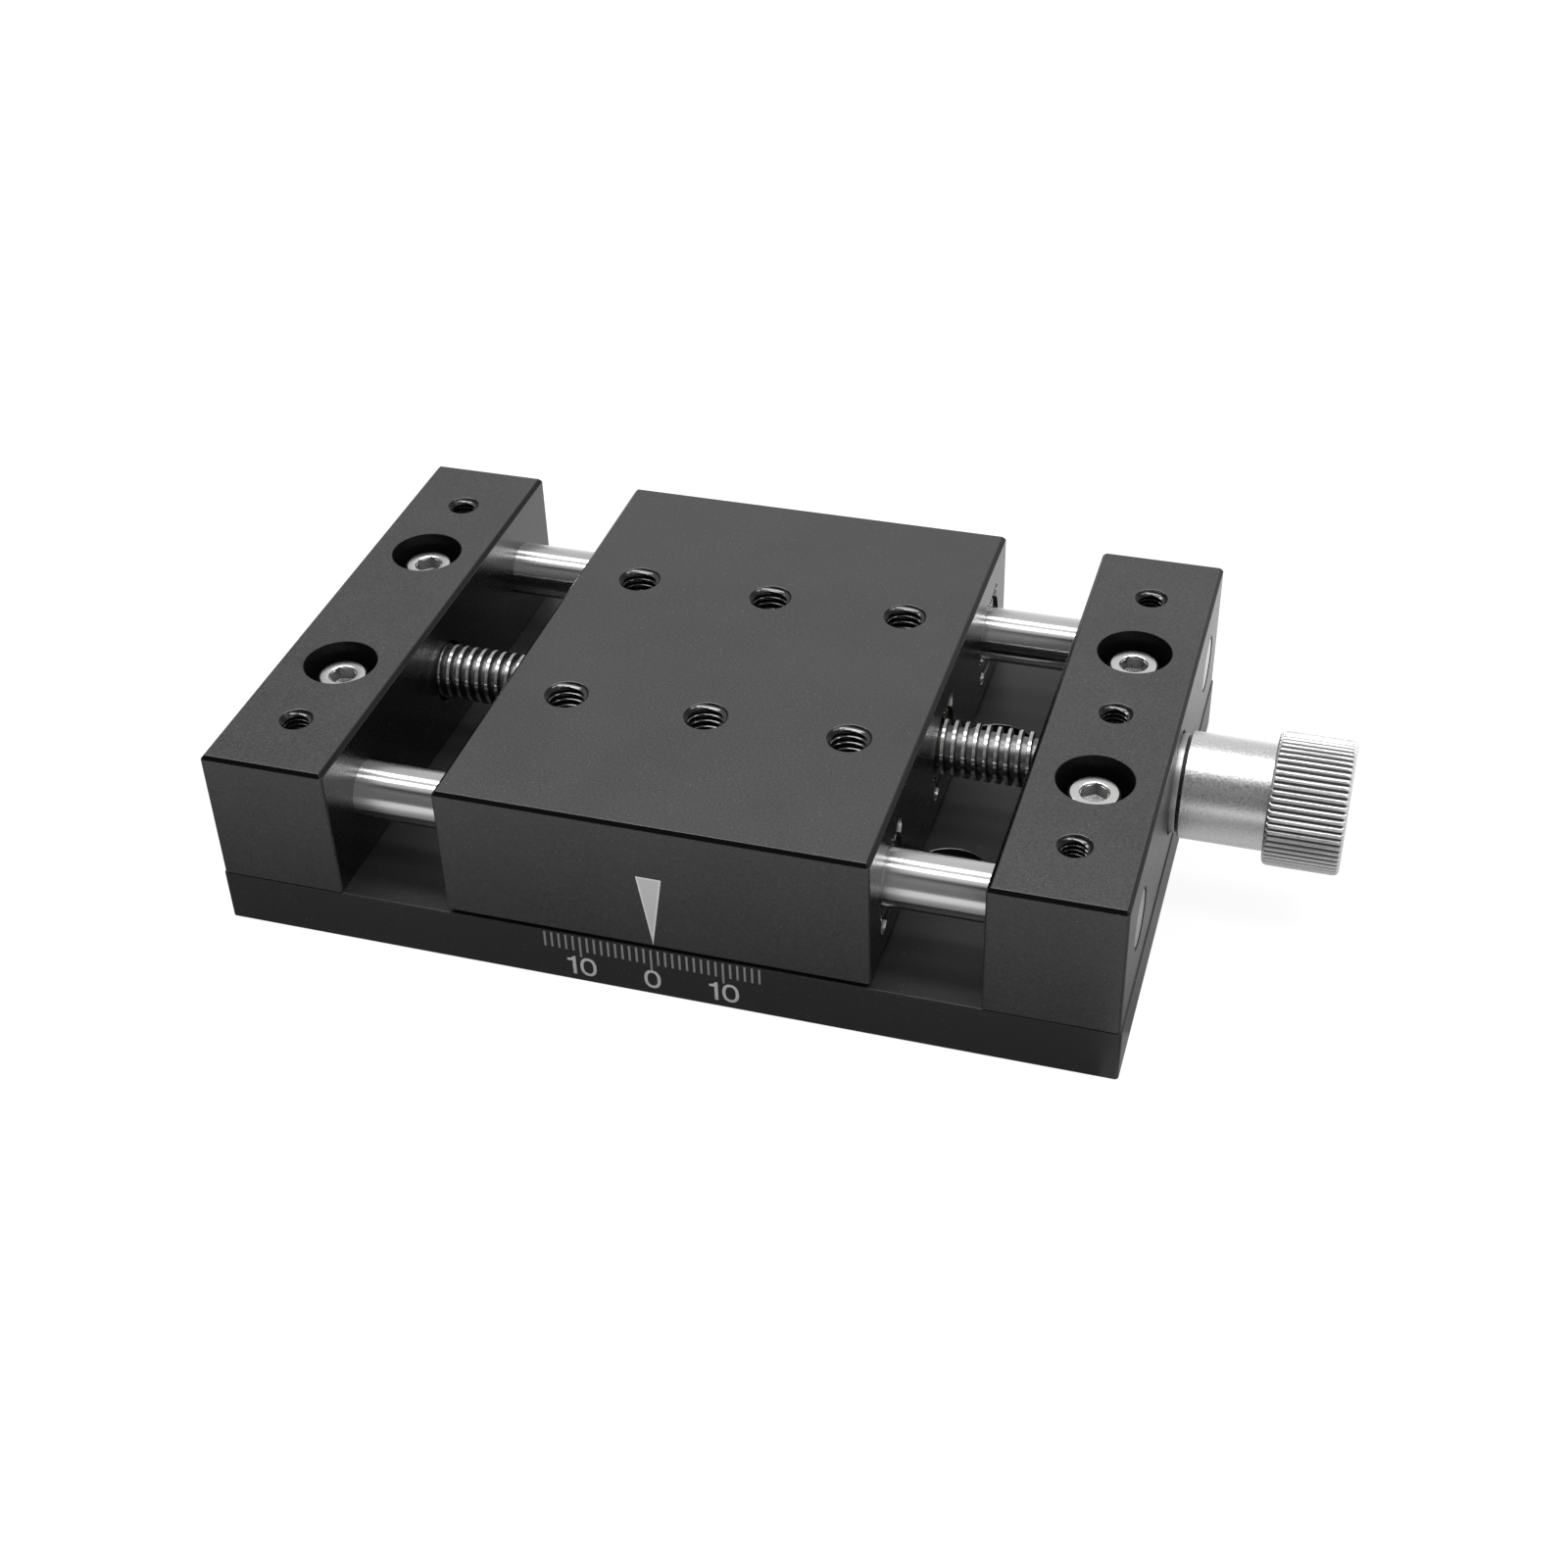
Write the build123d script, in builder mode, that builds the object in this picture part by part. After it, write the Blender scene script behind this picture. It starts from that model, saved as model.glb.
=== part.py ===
"""A manual linear stage: a carriage on two round rails, driven by a lead screw with a knurled knob.

The long side runs along X, with the knob at +X. Y is across the stage and Z is up. The origin is
on the underside of the base plate, in the middle of its width, under the zero of the scale.
All sizes are in millimetres.
"""

import os
from math import cos, radians, sin

from build123d import *

os.makedirs("parts", exist_ok=True)

# Travel
travel = 30.0  # full stroke of the carriage
stop_gap = 0.1  # what is left between carriage and end block at each end of the stroke
carriage_reading = 0.5  # where the carriage stands, read on the scale

# Plates and blocks
carriage_length = 58.8
carriage_height = 19.8
carriage_lift = 0.7  # air between carriage and base plate
block_length = 17.8
block_height = 20.0
base_width = 80.0
base_thickness = 8.0
base_overhang = 0.2  # how far each end of the base plate stands out past its end block
edge_break = 0.4  # chamfer on the machined edges
corner_round = 0.5  # radius of the upright corners

# Rails
axis_height = 18.0  # rails and lead screw lie at one height above the underside
rail_diameter = 8.0
rail_edge = 11.0  # from the middle of a rail to the side of the base plate
rail_recess = 0.1  # how far a rail's end stays inside the end block
rail_chamfer = 0.3
rail_mouth = 0.2  # countersink of the rail bores in the outer faces

# Fits, all measured on the radius
seat_clearance = 0.01
running_clearance = 0.03
thread_clearance = 0.05
tapped_clearance = 0.1

# Lead screw
screw_diameter = 8.0
screw_chamfer = 0.6
screw_relief = 0.5  # room round the screw where it passes through a block
journal_diameter = 6.0
journal_chamfer = 0.4
journal_setback = 0.3  # the idle journal ends this far inside the end block
journal_flat = 0.5  # depth of the flat for the knob's set screw
idle_float = 0.5  # room for the screw to grow towards the idle bearing

# Ball bearings, three of one size
bearing_outer = 13.0
bearing_width = 5.0
inner_race_wall = 1.1
outer_race_wall = 1.1
shield_thickness = 0.4
shield_inset = 0.2
shield_gap = 0.3
bearing_setback = 0.3  # the idle bearing sits this far inside its pocket
bearing_shoulder = 1.5  # height of the shoulder between the two drive bearings

# Collar and washer between the drive bearing and the knob
collar_diameter = 13.6
collar_thickness = 1.3
collar_recess = 0.8
collar_gap = 0.4
washer_diameter = 13.0
washer_thickness = 0.3

# Knob
hub_diameter = 14.7
hub_length = 11.5
head_diameter = 18.2
head_length = 10.3
head_chamfer = 0.7
flute_count = 60
flute_depth = 0.35
knob_bore_depth = 16.0
knob_bore_spare = 0.5

# Cap screws that hold the end blocks
cap_diameter = 4.0
cap_length = 20.0
cap_head_diameter = 7.0
cap_head_height = 4.0
cap_head_chamfer = 0.3
cap_socket = 3.0  # across the flats
cap_socket_depth = 2.0
cap_spacing = 30.0
cap_hole = 4.5
cap_counterbore = 10.3
cap_sink = 2.0  # the head stays this far below the top face
cap_tap_depth = 7.0

# Set screws on the rails, on the brake pad and in the knob
grub_diameter = 4.0
grub_length = 3.0
grub_socket = 2.0
grub_socket_depth = 1.3
grub_mouth = 0.3
knob_grub_length = 4.0
pad_diameter = 3.2
pad_height = 0.9
pad_gap = 0.1  # the released brake pad clears the journal by this much

# Plain bushes and the nut in the carriage, locked by key screws on their rims
bush_outer = 12.0
bush_length = 16.0
bush_recess = 0.5
bush_chamfer = 0.4
rail_relief = 0.5
nut_outer = 12.0
nut_length = 24.0
key_diameter = 3.0
key_length = 6.0
key_socket = 1.5
key_socket_depth = 1.0
key_angle = 52.0

# Tapped holes for the load on the carriage
load_hole = 6.0
load_hole_depth = 13.0
load_hole_mouth = 0.1
load_columns = 3
load_pitch = 20.0
load_rows = 30.0  # distance between the two rows

# Mounting holes in the base plate
mount_pitch = 69.0
mount_rows = 30.0
mount_hole = 6.6
mount_counterbore = 11.0
mount_counterbore_depth = 6.3

# Places along X that follow from the sizes
base_length = carriage_length + travel + 2 * (stop_gap + block_length + base_overhang)
end_face = base_length / 2 - base_overhang
inner_face = end_face - block_length
block_center = end_face - block_length / 2
block_top = base_thickness + block_height
carriage_bottom = base_thickness + carriage_lift
carriage_top = carriage_bottom + carriage_height
rail_y = base_width / 2 - rail_edge
rail_bore = rail_diameter + 2 * seat_clearance
bearing_pocket = bearing_outer + 2 * seat_clearance
outboard_bearing_end = end_face - collar_recess
collar_start = outboard_bearing_end + collar_gap
collar_end = collar_start + collar_thickness
knob_start = collar_end + washer_thickness
idle_bearing_start = -end_face + bearing_setback
idle_bearing_end = idle_bearing_start + bearing_width
grub_hole = grub_diameter + 2 * tapped_clearance

screw_plane = Plane(origin=(0, 0, axis_height), x_dir=(1, 0, 0), z_dir=(0, -1, 0))
screw_axis = Axis((0, 0, axis_height), (1, 0, 0))


def turned(outline):
    """A ring or shaft on the screw's axis, from points of (x, radius)."""
    with BuildPart() as piece:
        with BuildSketch(screw_plane):
            with BuildLine():
                Polyline(*outline, close=True)
            make_face()
        revolve(axis=screw_axis)
    return piece


def plate(center_x, bottom, length, height):
    """A machined plate across the full width, with broken edges and slightly round corners."""
    with BuildPart() as piece:
        with BuildSketch(Plane.XY.offset(bottom)):
            with Locations((center_x, 0)):
                Rectangle(length, base_width)
            fillet(vertices(), corner_round)
        extrude(amount=height)
        chamfer(faces().sort_by(Axis.Z)[0].edges() + faces().sort_by(Axis.Z)[-1].edges(), edge_break)
    return piece.part


def grub(diameter, length, socket, socket_depth):
    """A set screw that stands on its point, with its socket at the top."""
    with BuildPart() as piece:
        with BuildSketch():
            Circle(diameter / 2)
        extrude(amount=length)
        chamfer(faces().sort_by(Axis.Z)[0].edges(), socket_depth / 4)
        with BuildSketch(Plane.XY.offset(length)):
            RegularPolygon(socket / 2, 6, major_radius=False)
        extrude(amount=-socket_depth, mode=Mode.SUBTRACT)
    return piece.part


def outward(side):
    """Direction out of the stage on the idle side, -1, or the drive side, +1."""
    return (side, 0, 0)


def key_places(y, radius):
    """Where the two key screws sit on the rim of a round piece at this Y."""
    step_y = radius * cos(radians(key_angle))
    step_z = radius * sin(radians(key_angle))
    return [(y + sign * step_y, axis_height + sign * step_z) for sign in (1, -1)]


def carriage_face(side):
    """X of the carriage's end face on one side."""
    return carriage_reading + side * carriage_length / 2


# Base plate
with BuildPart() as base_plate:
    add(plate(0, 0, base_length, base_thickness))
    with Locations((0, 0, base_thickness)):
        with GridLocations(mount_pitch, mount_rows, 2, 2):
            CounterBoreHole(mount_hole / 2, mount_counterbore / 2, mount_counterbore_depth)
        with GridLocations(2 * block_center, cap_spacing, 2, 2):
            Hole(cap_diameter / 2 + tapped_clearance, cap_tap_depth)


def end_block(side):
    """An end block with its rail bores, clamp screw holes and counterbored screw holes."""
    center_x = side * block_center
    with BuildPart() as block:
        add(plate(center_x, base_thickness, block_length, block_height))
        with Locations(
            *[
                Plane((side * end_face, sign * rail_y, axis_height), z_dir=outward(side))
                for sign in (-1, 1)
            ]
        ):
            CounterSinkHole(rail_bore / 2, rail_bore / 2 + rail_mouth, block_length, 90)
        with Locations((center_x, 0, block_top)):
            with GridLocations(0, 2 * rail_y, 1, 2):
                CounterSinkHole(
                    grub_hole / 2, grub_hole / 2 + grub_mouth, block_top - axis_height, 90
                )
            with GridLocations(0, cap_spacing, 1, 2):
                CounterBoreHole(cap_hole / 2, cap_counterbore / 2, cap_head_height + cap_sink)
    return block.part


# Idle end block, with the bearing pocket in its outer face
with BuildPart() as idle_end_block:
    add(end_block(-1))
    with BuildSketch(Plane.YZ.offset(-end_face)):
        with Locations((0, axis_height)):
            Circle(bearing_pocket / 2)
    extrude(amount=idle_bearing_end + end_face, mode=Mode.SUBTRACT)
    with BuildSketch(Plane.YZ.offset(idle_bearing_end)):
        with Locations((0, axis_height)):
            Circle(screw_diameter / 2 + screw_relief)
    extrude(amount=-inner_face - idle_bearing_end, mode=Mode.SUBTRACT)

# Drive end block, with a bearing pocket in each face and the brake screw's hole between them
with BuildPart() as drive_end_block:
    add(end_block(1))
    with BuildSketch(Plane.YZ.offset(inner_face)):
        with Locations((0, axis_height)):
            Circle(bearing_pocket / 2)
    extrude(amount=bearing_width, mode=Mode.SUBTRACT)
    with BuildSketch(Plane.YZ.offset(inner_face)):
        with Locations((0, axis_height)):
            Circle(bearing_pocket / 2 - bearing_shoulder)
    extrude(amount=block_length, mode=Mode.SUBTRACT)
    with BuildSketch(Plane.YZ.offset(outboard_bearing_end)):
        with Locations((0, axis_height)):
            Circle(bearing_pocket / 2)
    extrude(amount=-bearing_width, mode=Mode.SUBTRACT)
    with BuildSketch(Plane.YZ.offset(outboard_bearing_end)):
        with Locations((0, axis_height)):
            Circle(collar_diameter / 2 + collar_gap)
    extrude(amount=collar_recess, mode=Mode.SUBTRACT)
    with Locations((block_center, 0, block_top)):
        CounterSinkHole(grub_hole / 2, grub_hole / 2 + grub_mouth, block_top - axis_height, 90)


def rail(y):
    """A round rail, a little shorter than the base plate."""
    half_length = end_face - rail_recess
    with BuildPart() as rod:
        with BuildSketch(Plane.YZ.offset(-half_length)):
            with Locations((y, axis_height)):
                Circle(rail_diameter / 2)
        extrude(amount=2 * half_length)
        chamfer(edges().filter_by(GeomType.CIRCLE), rail_chamfer)
    return rod


rail_front = rail(-rail_y)
rail_rear = rail(rail_y)

# Four socket head cap screws through the end blocks into the base plate
with BuildPart() as cap_screw:
    with BuildSketch():
        Circle(cap_head_diameter / 2)
    extrude(amount=cap_head_height)
    chamfer(faces().sort_by(Axis.Z)[-1].edges(), cap_head_chamfer)
    with BuildSketch():
        Circle(cap_diameter / 2)
    extrude(amount=-cap_length)
    with BuildSketch(Plane.XY.offset(cap_head_height)):
        RegularPolygon(cap_socket / 2, 6, major_radius=False)
    extrude(amount=-cap_socket_depth, mode=Mode.SUBTRACT)

with BuildPart() as block_cap_screws:
    with Locations((0, 0, block_top - cap_sink - cap_head_height)):
        with GridLocations(2 * block_center, cap_spacing, 2, 2):
            add(cap_screw.part)

# Four set screws that clamp the rails in the end blocks
with BuildPart() as rail_clamp_screws:
    with Locations((0, 0, axis_height + rail_diameter / 2)):
        with GridLocations(2 * block_center, 2 * rail_y, 2, 2):
            add(grub(grub_diameter, grub_length, grub_socket, grub_socket_depth))

# Brake: a soft pad on the journal and the set screw that presses it
pad_bottom = axis_height + journal_diameter / 2 + pad_gap
with BuildPart() as brake_pad:
    with BuildSketch(Plane.XY.offset(pad_bottom)):
        with Locations((block_center, 0)):
            Circle(pad_diameter / 2)
    extrude(amount=pad_height)

with BuildPart() as brake_screw:
    with Locations((block_center, 0, pad_bottom + pad_height)):
        add(grub(grub_diameter, grub_length, grub_socket, grub_socket_depth))

# Lead screw, with a journal at each end
journal_radius = journal_diameter / 2
screw_radius = screw_diameter / 2
idle_tip = -end_face + journal_setback
idle_shoulder = idle_bearing_end + idle_float
drive_tip = knob_start + knob_bore_depth - knob_bore_spare
knob_grub_x = knob_start + hub_length / 2
screw_outline = [
    (idle_tip, 0),
    (idle_tip, journal_radius - journal_chamfer),
    (idle_tip + journal_chamfer, journal_radius),
    (idle_shoulder, journal_radius),
    (idle_shoulder, screw_radius - screw_chamfer),
    (idle_shoulder + screw_chamfer, screw_radius),
    (inner_face, screw_radius),
    (inner_face, journal_radius),
    (drive_tip - journal_chamfer, journal_radius),
    (drive_tip, journal_radius - journal_chamfer),
    (drive_tip, 0),
]
with BuildPart() as lead_screw:
    add(turned(screw_outline).part)
    with BuildSketch(Plane.XY.offset(axis_height - journal_radius)):
        with Locations((knob_grub_x, 0)):
            Rectangle(2 * grub_diameter, journal_diameter)
    extrude(amount=journal_flat, mode=Mode.SUBTRACT)


def bearing_races(start):
    """The outer race with its two shields, and the inner race, of a bearing that starts at this X."""
    end = start + bearing_width
    rim = bearing_outer / 2
    track = rim - outer_race_wall
    bore = journal_radius + seat_clearance
    crown = bore + inner_race_wall
    lip = crown + shield_gap
    near = start + shield_inset
    far = end - shield_inset
    outer = turned(
        [
            (start, rim),
            (start, track),
            (near, track),
            (near, lip),
            (near + shield_thickness, lip),
            (near + shield_thickness, track),
            (far - shield_thickness, track),
            (far - shield_thickness, lip),
            (far, lip),
            (far, track),
            (end, track),
            (end, rim),
        ]
    )
    inner = turned([(start, bore), (start, crown), (end, crown), (end, bore)])
    return outer, inner


idle_bearing_outer, idle_bearing_inner = bearing_races(idle_bearing_start)
inboard_bearing_outer, inboard_bearing_inner = bearing_races(inner_face)
outboard_bearing_outer, outboard_bearing_inner = bearing_races(
    outboard_bearing_end - bearing_width
)

# Collar that rests on the outboard bearing's inner race, and the washer between it and the knob
shaft_bore = journal_radius + seat_clearance
collar_foot = shaft_bore + inner_race_wall
thrust_collar = turned(
    [
        (outboard_bearing_end, shaft_bore),
        (outboard_bearing_end, collar_foot),
        (collar_start, collar_foot),
        (collar_start, collar_diameter / 2),
        (collar_end, collar_diameter / 2),
        (collar_end, shaft_bore),
    ]
)
friction_washer = turned(
    [
        (collar_end, shaft_bore),
        (collar_end, washer_diameter / 2),
        (knob_start, washer_diameter / 2),
        (knob_start, shaft_bore),
    ]
)

# Knob: a plain hub and a head with straight flutes all round
head_start = knob_start + hub_length
flute_plane = Plane(origin=(head_start, 0, axis_height), x_dir=(0, 1, 0), z_dir=(1, 0, 0))
with BuildPart() as knob:
    with BuildSketch(Plane.YZ.offset(knob_start)):
        with Locations((0, axis_height)):
            Circle(hub_diameter / 2)
    extrude(amount=hub_length)
    with BuildSketch(flute_plane):
        Circle(head_diameter / 2)
    extrude(amount=head_length)
    chamfer(edges().filter_by(GeomType.CIRCLE).group_by(SortBy.RADIUS)[-1], head_chamfer)
    with BuildSketch(flute_plane):
        with PolarLocations(head_diameter / 2, flute_count):
            Rectangle(flute_depth * 2**0.5, flute_depth * 2**0.5, rotation=45)
    extrude(amount=head_length, mode=Mode.SUBTRACT)
    with BuildSketch(Plane.YZ.offset(knob_start)):
        with Locations((0, axis_height)):
            Circle(shaft_bore)
    extrude(amount=knob_bore_depth, mode=Mode.SUBTRACT)
    with Locations(Plane((knob_grub_x, 0, axis_height - hub_diameter / 2), z_dir=(0, 0, -1))):
        Hole(grub_hole / 2, hub_diameter / 2)

knob_grub_plane = Plane(
    (knob_grub_x, 0, axis_height - journal_radius + journal_flat), z_dir=(0, 0, -1)
)
with BuildPart() as knob_set_screw:
    with Locations(knob_grub_plane):
        add(grub(grub_diameter, knob_grub_length, grub_socket, grub_socket_depth))

# Carriage: bush bores at both ends of each rail passage, the nut's bore and the tapped load holes
nut_y = 0.0
with BuildPart() as carriage:
    add(plate(carriage_reading, carriage_bottom, carriage_length, carriage_height))
    with BuildSketch(Plane.YZ.offset(carriage_face(-1))):
        with Locations((-rail_y, axis_height), (rail_y, axis_height)):
            Circle(rail_diameter / 2 + rail_relief)
        with Locations((nut_y, axis_height)):
            Circle(screw_diameter / 2 + screw_relief)
    extrude(amount=carriage_length, mode=Mode.SUBTRACT)
    for side in (-1, 1):
        with BuildSketch(Plane.YZ.offset(carriage_face(side))):
            with Locations((-rail_y, axis_height), (rail_y, axis_height)):
                Circle(bush_outer / 2 + seat_clearance)
        extrude(amount=-side * (bush_recess + bush_length), mode=Mode.SUBTRACT)
    with BuildSketch(Plane.YZ.offset(carriage_face(1))):
        with Locations((nut_y, axis_height)):
            Circle(nut_outer / 2 + seat_clearance)
    extrude(amount=-(bush_recess + nut_length), mode=Mode.SUBTRACT)
    for side in (-1, 1):
        with BuildSketch(Plane.YZ.offset(carriage_face(side))):
            places = key_places(-rail_y, bush_outer / 2) + key_places(rail_y, bush_outer / 2)
            if side == 1:
                places += key_places(nut_y, nut_outer / 2)
            with Locations(*places):
                Circle(key_diameter / 2 + tapped_clearance)
        extrude(amount=-side * (bush_recess + key_length), mode=Mode.SUBTRACT)
    with Locations((carriage_reading, 0, carriage_top)):
        with GridLocations(load_pitch, load_rows, load_columns, 2):
            CounterSinkHole(
                load_hole / 2, load_hole / 2 + load_hole_mouth, load_hole_depth, 90
            )


def keyed_sleeve(side, y, outer, bore, length):
    """A sleeve pressed into the carriage, with the half holes of its key screws."""
    start = carriage_face(side) - side * bush_recess
    with BuildPart() as sleeve:
        with BuildSketch(Plane.YZ.offset(start)):
            with Locations((y, axis_height)):
                Circle(outer / 2)
                Circle(bore / 2, mode=Mode.SUBTRACT)
        extrude(amount=-side * length)
        rims = edges().filter_by(GeomType.CIRCLE).group_by(SortBy.RADIUS)[-1]
        chamfer(rims, bush_chamfer)
        with BuildSketch(Plane.YZ.offset(start)):
            with Locations(*key_places(y, outer / 2)):
                Circle(key_diameter / 2 + tapped_clearance)
        extrude(amount=-side * key_length, mode=Mode.SUBTRACT)
    return sleeve


bush_bore = rail_diameter + 2 * running_clearance
bush_front_idle = keyed_sleeve(-1, -rail_y, bush_outer, bush_bore, bush_length)
bush_front_drive = keyed_sleeve(1, -rail_y, bush_outer, bush_bore, bush_length)
bush_rear_idle = keyed_sleeve(-1, rail_y, bush_outer, bush_bore, bush_length)
bush_rear_drive = keyed_sleeve(1, rail_y, bush_outer, bush_bore, bush_length)
lead_nut = keyed_sleeve(1, nut_y, nut_outer, screw_diameter + 2 * thread_clearance, nut_length)


def key_planes(side, y, radius):
    """Planes at the inner ends of the key screws, facing out of the carriage."""
    depth = carriage_face(side) - side * (bush_recess + key_length)
    return [
        Plane((depth, place_y, place_z), z_dir=outward(side))
        for place_y, place_z in key_places(y, radius)
    ]


key_screw = grub(key_diameter, key_length, key_socket, key_socket_depth)
with BuildPart() as bush_key_screws:
    for side in (-1, 1):
        for sign in (-1, 1):
            with Locations(*key_planes(side, sign * rail_y, bush_outer / 2)):
                add(key_screw)

with BuildPart() as nut_key_screws:
    with Locations(*key_planes(1, nut_y, nut_outer / 2)):
        add(key_screw)

pieces = {
    "base_plate": base_plate,
    "idle_end_block": idle_end_block,
    "drive_end_block": drive_end_block,
    "rail_front": rail_front,
    "rail_rear": rail_rear,
    "block_cap_screws": block_cap_screws,
    "rail_clamp_screws": rail_clamp_screws,
    "brake_pad": brake_pad,
    "brake_screw": brake_screw,
    "lead_screw": lead_screw,
    "idle_bearing_outer": idle_bearing_outer,
    "idle_bearing_inner": idle_bearing_inner,
    "inboard_bearing_outer": inboard_bearing_outer,
    "inboard_bearing_inner": inboard_bearing_inner,
    "outboard_bearing_outer": outboard_bearing_outer,
    "outboard_bearing_inner": outboard_bearing_inner,
    "thrust_collar": thrust_collar,
    "friction_washer": friction_washer,
    "knob": knob,
    "knob_set_screw": knob_set_screw,
    "carriage": carriage,
    "bush_front_idle": bush_front_idle,
    "bush_front_drive": bush_front_drive,
    "bush_rear_idle": bush_rear_idle,
    "bush_rear_drive": bush_rear_drive,
    "lead_nut": lead_nut,
    "bush_key_screws": bush_key_screws,
    "nut_key_screws": nut_key_screws,
}
for name, piece in pieces.items():
    piece.part.label = name
    export_step(piece.part, f"parts/{name}.step")
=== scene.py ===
"""A manual lead screw stage: black plates, polished rails, a turning screw and a fluted knob.

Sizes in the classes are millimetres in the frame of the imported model: X along the travel with the
knob at +X, Y across the stage with the scale at -Y, Z up from the underside of the base plate.
"""

import logging
import math
from collections.abc import Sequence
from dataclasses import dataclass, field
from enum import Enum, IntEnum

import bmesh
import bpy
import numpy as np
from mathutils import Matrix, Vector


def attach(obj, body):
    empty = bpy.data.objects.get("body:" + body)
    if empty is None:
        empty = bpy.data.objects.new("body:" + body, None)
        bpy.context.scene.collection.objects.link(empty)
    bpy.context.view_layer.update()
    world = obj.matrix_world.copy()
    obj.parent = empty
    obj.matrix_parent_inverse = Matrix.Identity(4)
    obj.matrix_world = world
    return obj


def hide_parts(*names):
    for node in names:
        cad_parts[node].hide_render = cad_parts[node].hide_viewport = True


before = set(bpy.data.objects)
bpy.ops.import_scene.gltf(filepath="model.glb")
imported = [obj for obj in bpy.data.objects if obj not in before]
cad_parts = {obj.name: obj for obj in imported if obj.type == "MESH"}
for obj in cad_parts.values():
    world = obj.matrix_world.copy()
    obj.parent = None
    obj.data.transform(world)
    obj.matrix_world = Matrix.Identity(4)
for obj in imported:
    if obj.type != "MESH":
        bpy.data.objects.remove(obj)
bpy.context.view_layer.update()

logging.basicConfig(level=logging.INFO, format="%(message)s")
log = logging.getLogger("stage")

MM = 0.001
OVER = 2.0  # how far a cutter reaches out of the surface it opens
EASE = 0.08  # how far the small rounding beside a chamfer reaches
EASE_SHARE = 0.45  # the most that a rounding takes of the side next to it
SMALLEST = 0.06  # radius of the sharpest upright corner
TOP_CHAMFER = 0.56  # reach of the upper edges' chamfer on blocks and carriage
LOW_CHAMFER = 0.14  # reach of the edges' chamfer where two faces nearly touch
ROUND = 128  # faces round a bore or a ring
AXIS_HEIGHT = 18.0  # height of the lead screw and of the rails
CARRIAGE_READING = 0.5  # where the carriage stands on the scale
BASE_HEIGHT = 8.0
WIDTH = 80.0  # of the base plate, the blocks and the carriage
BLOCK_MIDDLE = 53.4  # of the end blocks, along X
RAIL_PLACE = 29.0  # of the rails, across the stage
CAP_PLACE = 15.0  # of the cap screws, across the stage
BOTH = (-1, 1)
TURN = 2 * math.pi

Point = tuple[float, float]
Place = tuple[float, float, float]
Socket = bpy.types.NodeSocket


class Body(Enum):
    """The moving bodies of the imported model."""

    FRAME = "frame"
    SCREW = "screw"
    CARRIAGE = "carriage"


class Facing(Enum):
    """Where the axis of a round shape points. Shapes are made about +Z and then turned."""

    UP = ((1, 0, 0), (0, 1, 0), (0, 0, 1))
    DOWN = ((1, 0, 0), (0, -1, 0), (0, 0, -1))
    DRIVE = ((0, 1, 0), (0, 0, 1), (1, 0, 0))
    IDLE = ((0, -1, 0), (0, 0, 1), (-1, 0, 0))

    @classmethod
    def end(cls, side: int) -> "Facing":
        """Towards the drive end for 1, and towards the idle end for -1."""
        return cls.DRIVE if side > 0 else cls.IDLE

    def matrix(self, place: Place) -> Matrix:
        """The turn and move that bring a mesh about +Z to its place in millimetres."""
        turn = Matrix(self.value).transposed().to_4x4()
        return Matrix.Translation(Vector(place) * MM) @ turn


# Shapes


class Skin(IntEnum):
    """Which of a piece's finishes a face has."""

    FACE = 0
    EDGE = 1
    BORE = 2
    THREAD = 3
    BARE = 4
    END = 5


@dataclass
class Shell:
    """Points in millimetres, the faces between them, and the skin of each face."""

    points: np.ndarray
    faces: list[tuple[int, ...]]
    skins: list[Skin] = field(default_factory=list)

    def __post_init__(self) -> None:
        """Gives every face a skin."""
        self.skins = self.skins or [Skin.FACE] * len(self.faces)

    def clad(self, skin: Skin) -> "Shell":
        """The same shell with one skin on all its faces."""
        return Shell(self.points, self.faces, [skin] * len(self.faces))

    def moved(self, facing: Facing, place: Place) -> "Shell":
        """The same shell with its +Z axis along facing and its origin at place."""
        turn = np.array(facing.value, float)
        return Shell(self.points @ turn + np.array(place), self.faces, self.skins)

    def with_others(self, others: Sequence["Shell"]) -> "Shell":
        """One shell that holds this one and the others.

        Args:
            others: Shells to add.

        Returns:
            The joined shell.
        """
        points, faces, skins = [self.points], list(self.faces), list(self.skins)
        count = len(self.points)
        for other in others:
            skins += other.skins
            faces += [tuple(corner + count for corner in face) for face in other.faces]
            points.append(other.points)
            count += len(other.points)
        return Shell(np.vstack(points), faces, skins)

    def to_object(self, name: str) -> bpy.types.Object:
        """Makes a mesh object in metres with its faces outwards.

        Args:
            name: Name of the object.

        Returns:
            The new object, linked to the scene.
        """
        mesh = bpy.data.meshes.new(name)
        mesh.from_pydata((self.points * MM).tolist(), [], self.faces)
        mesh.polygons.foreach_set("material_index", [int(skin) for skin in self.skins])
        work = bmesh.new()
        work.from_mesh(mesh)
        bmesh.ops.recalc_face_normals(work, faces=work.faces)
        work.to_mesh(mesh)
        work.free()
        return link(name, mesh)


def link(name: str, data: bpy.types.ID | None) -> bpy.types.Object:
    """Puts a new object with this data in the scene.

    Args:
        name: Name of the object.
        data: Its mesh, lamp or camera.

    Returns:
        The new object.
    """
    made = bpy.data.objects.new(name, data)
    bpy.context.scene.collection.objects.link(made)
    return made


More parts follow.
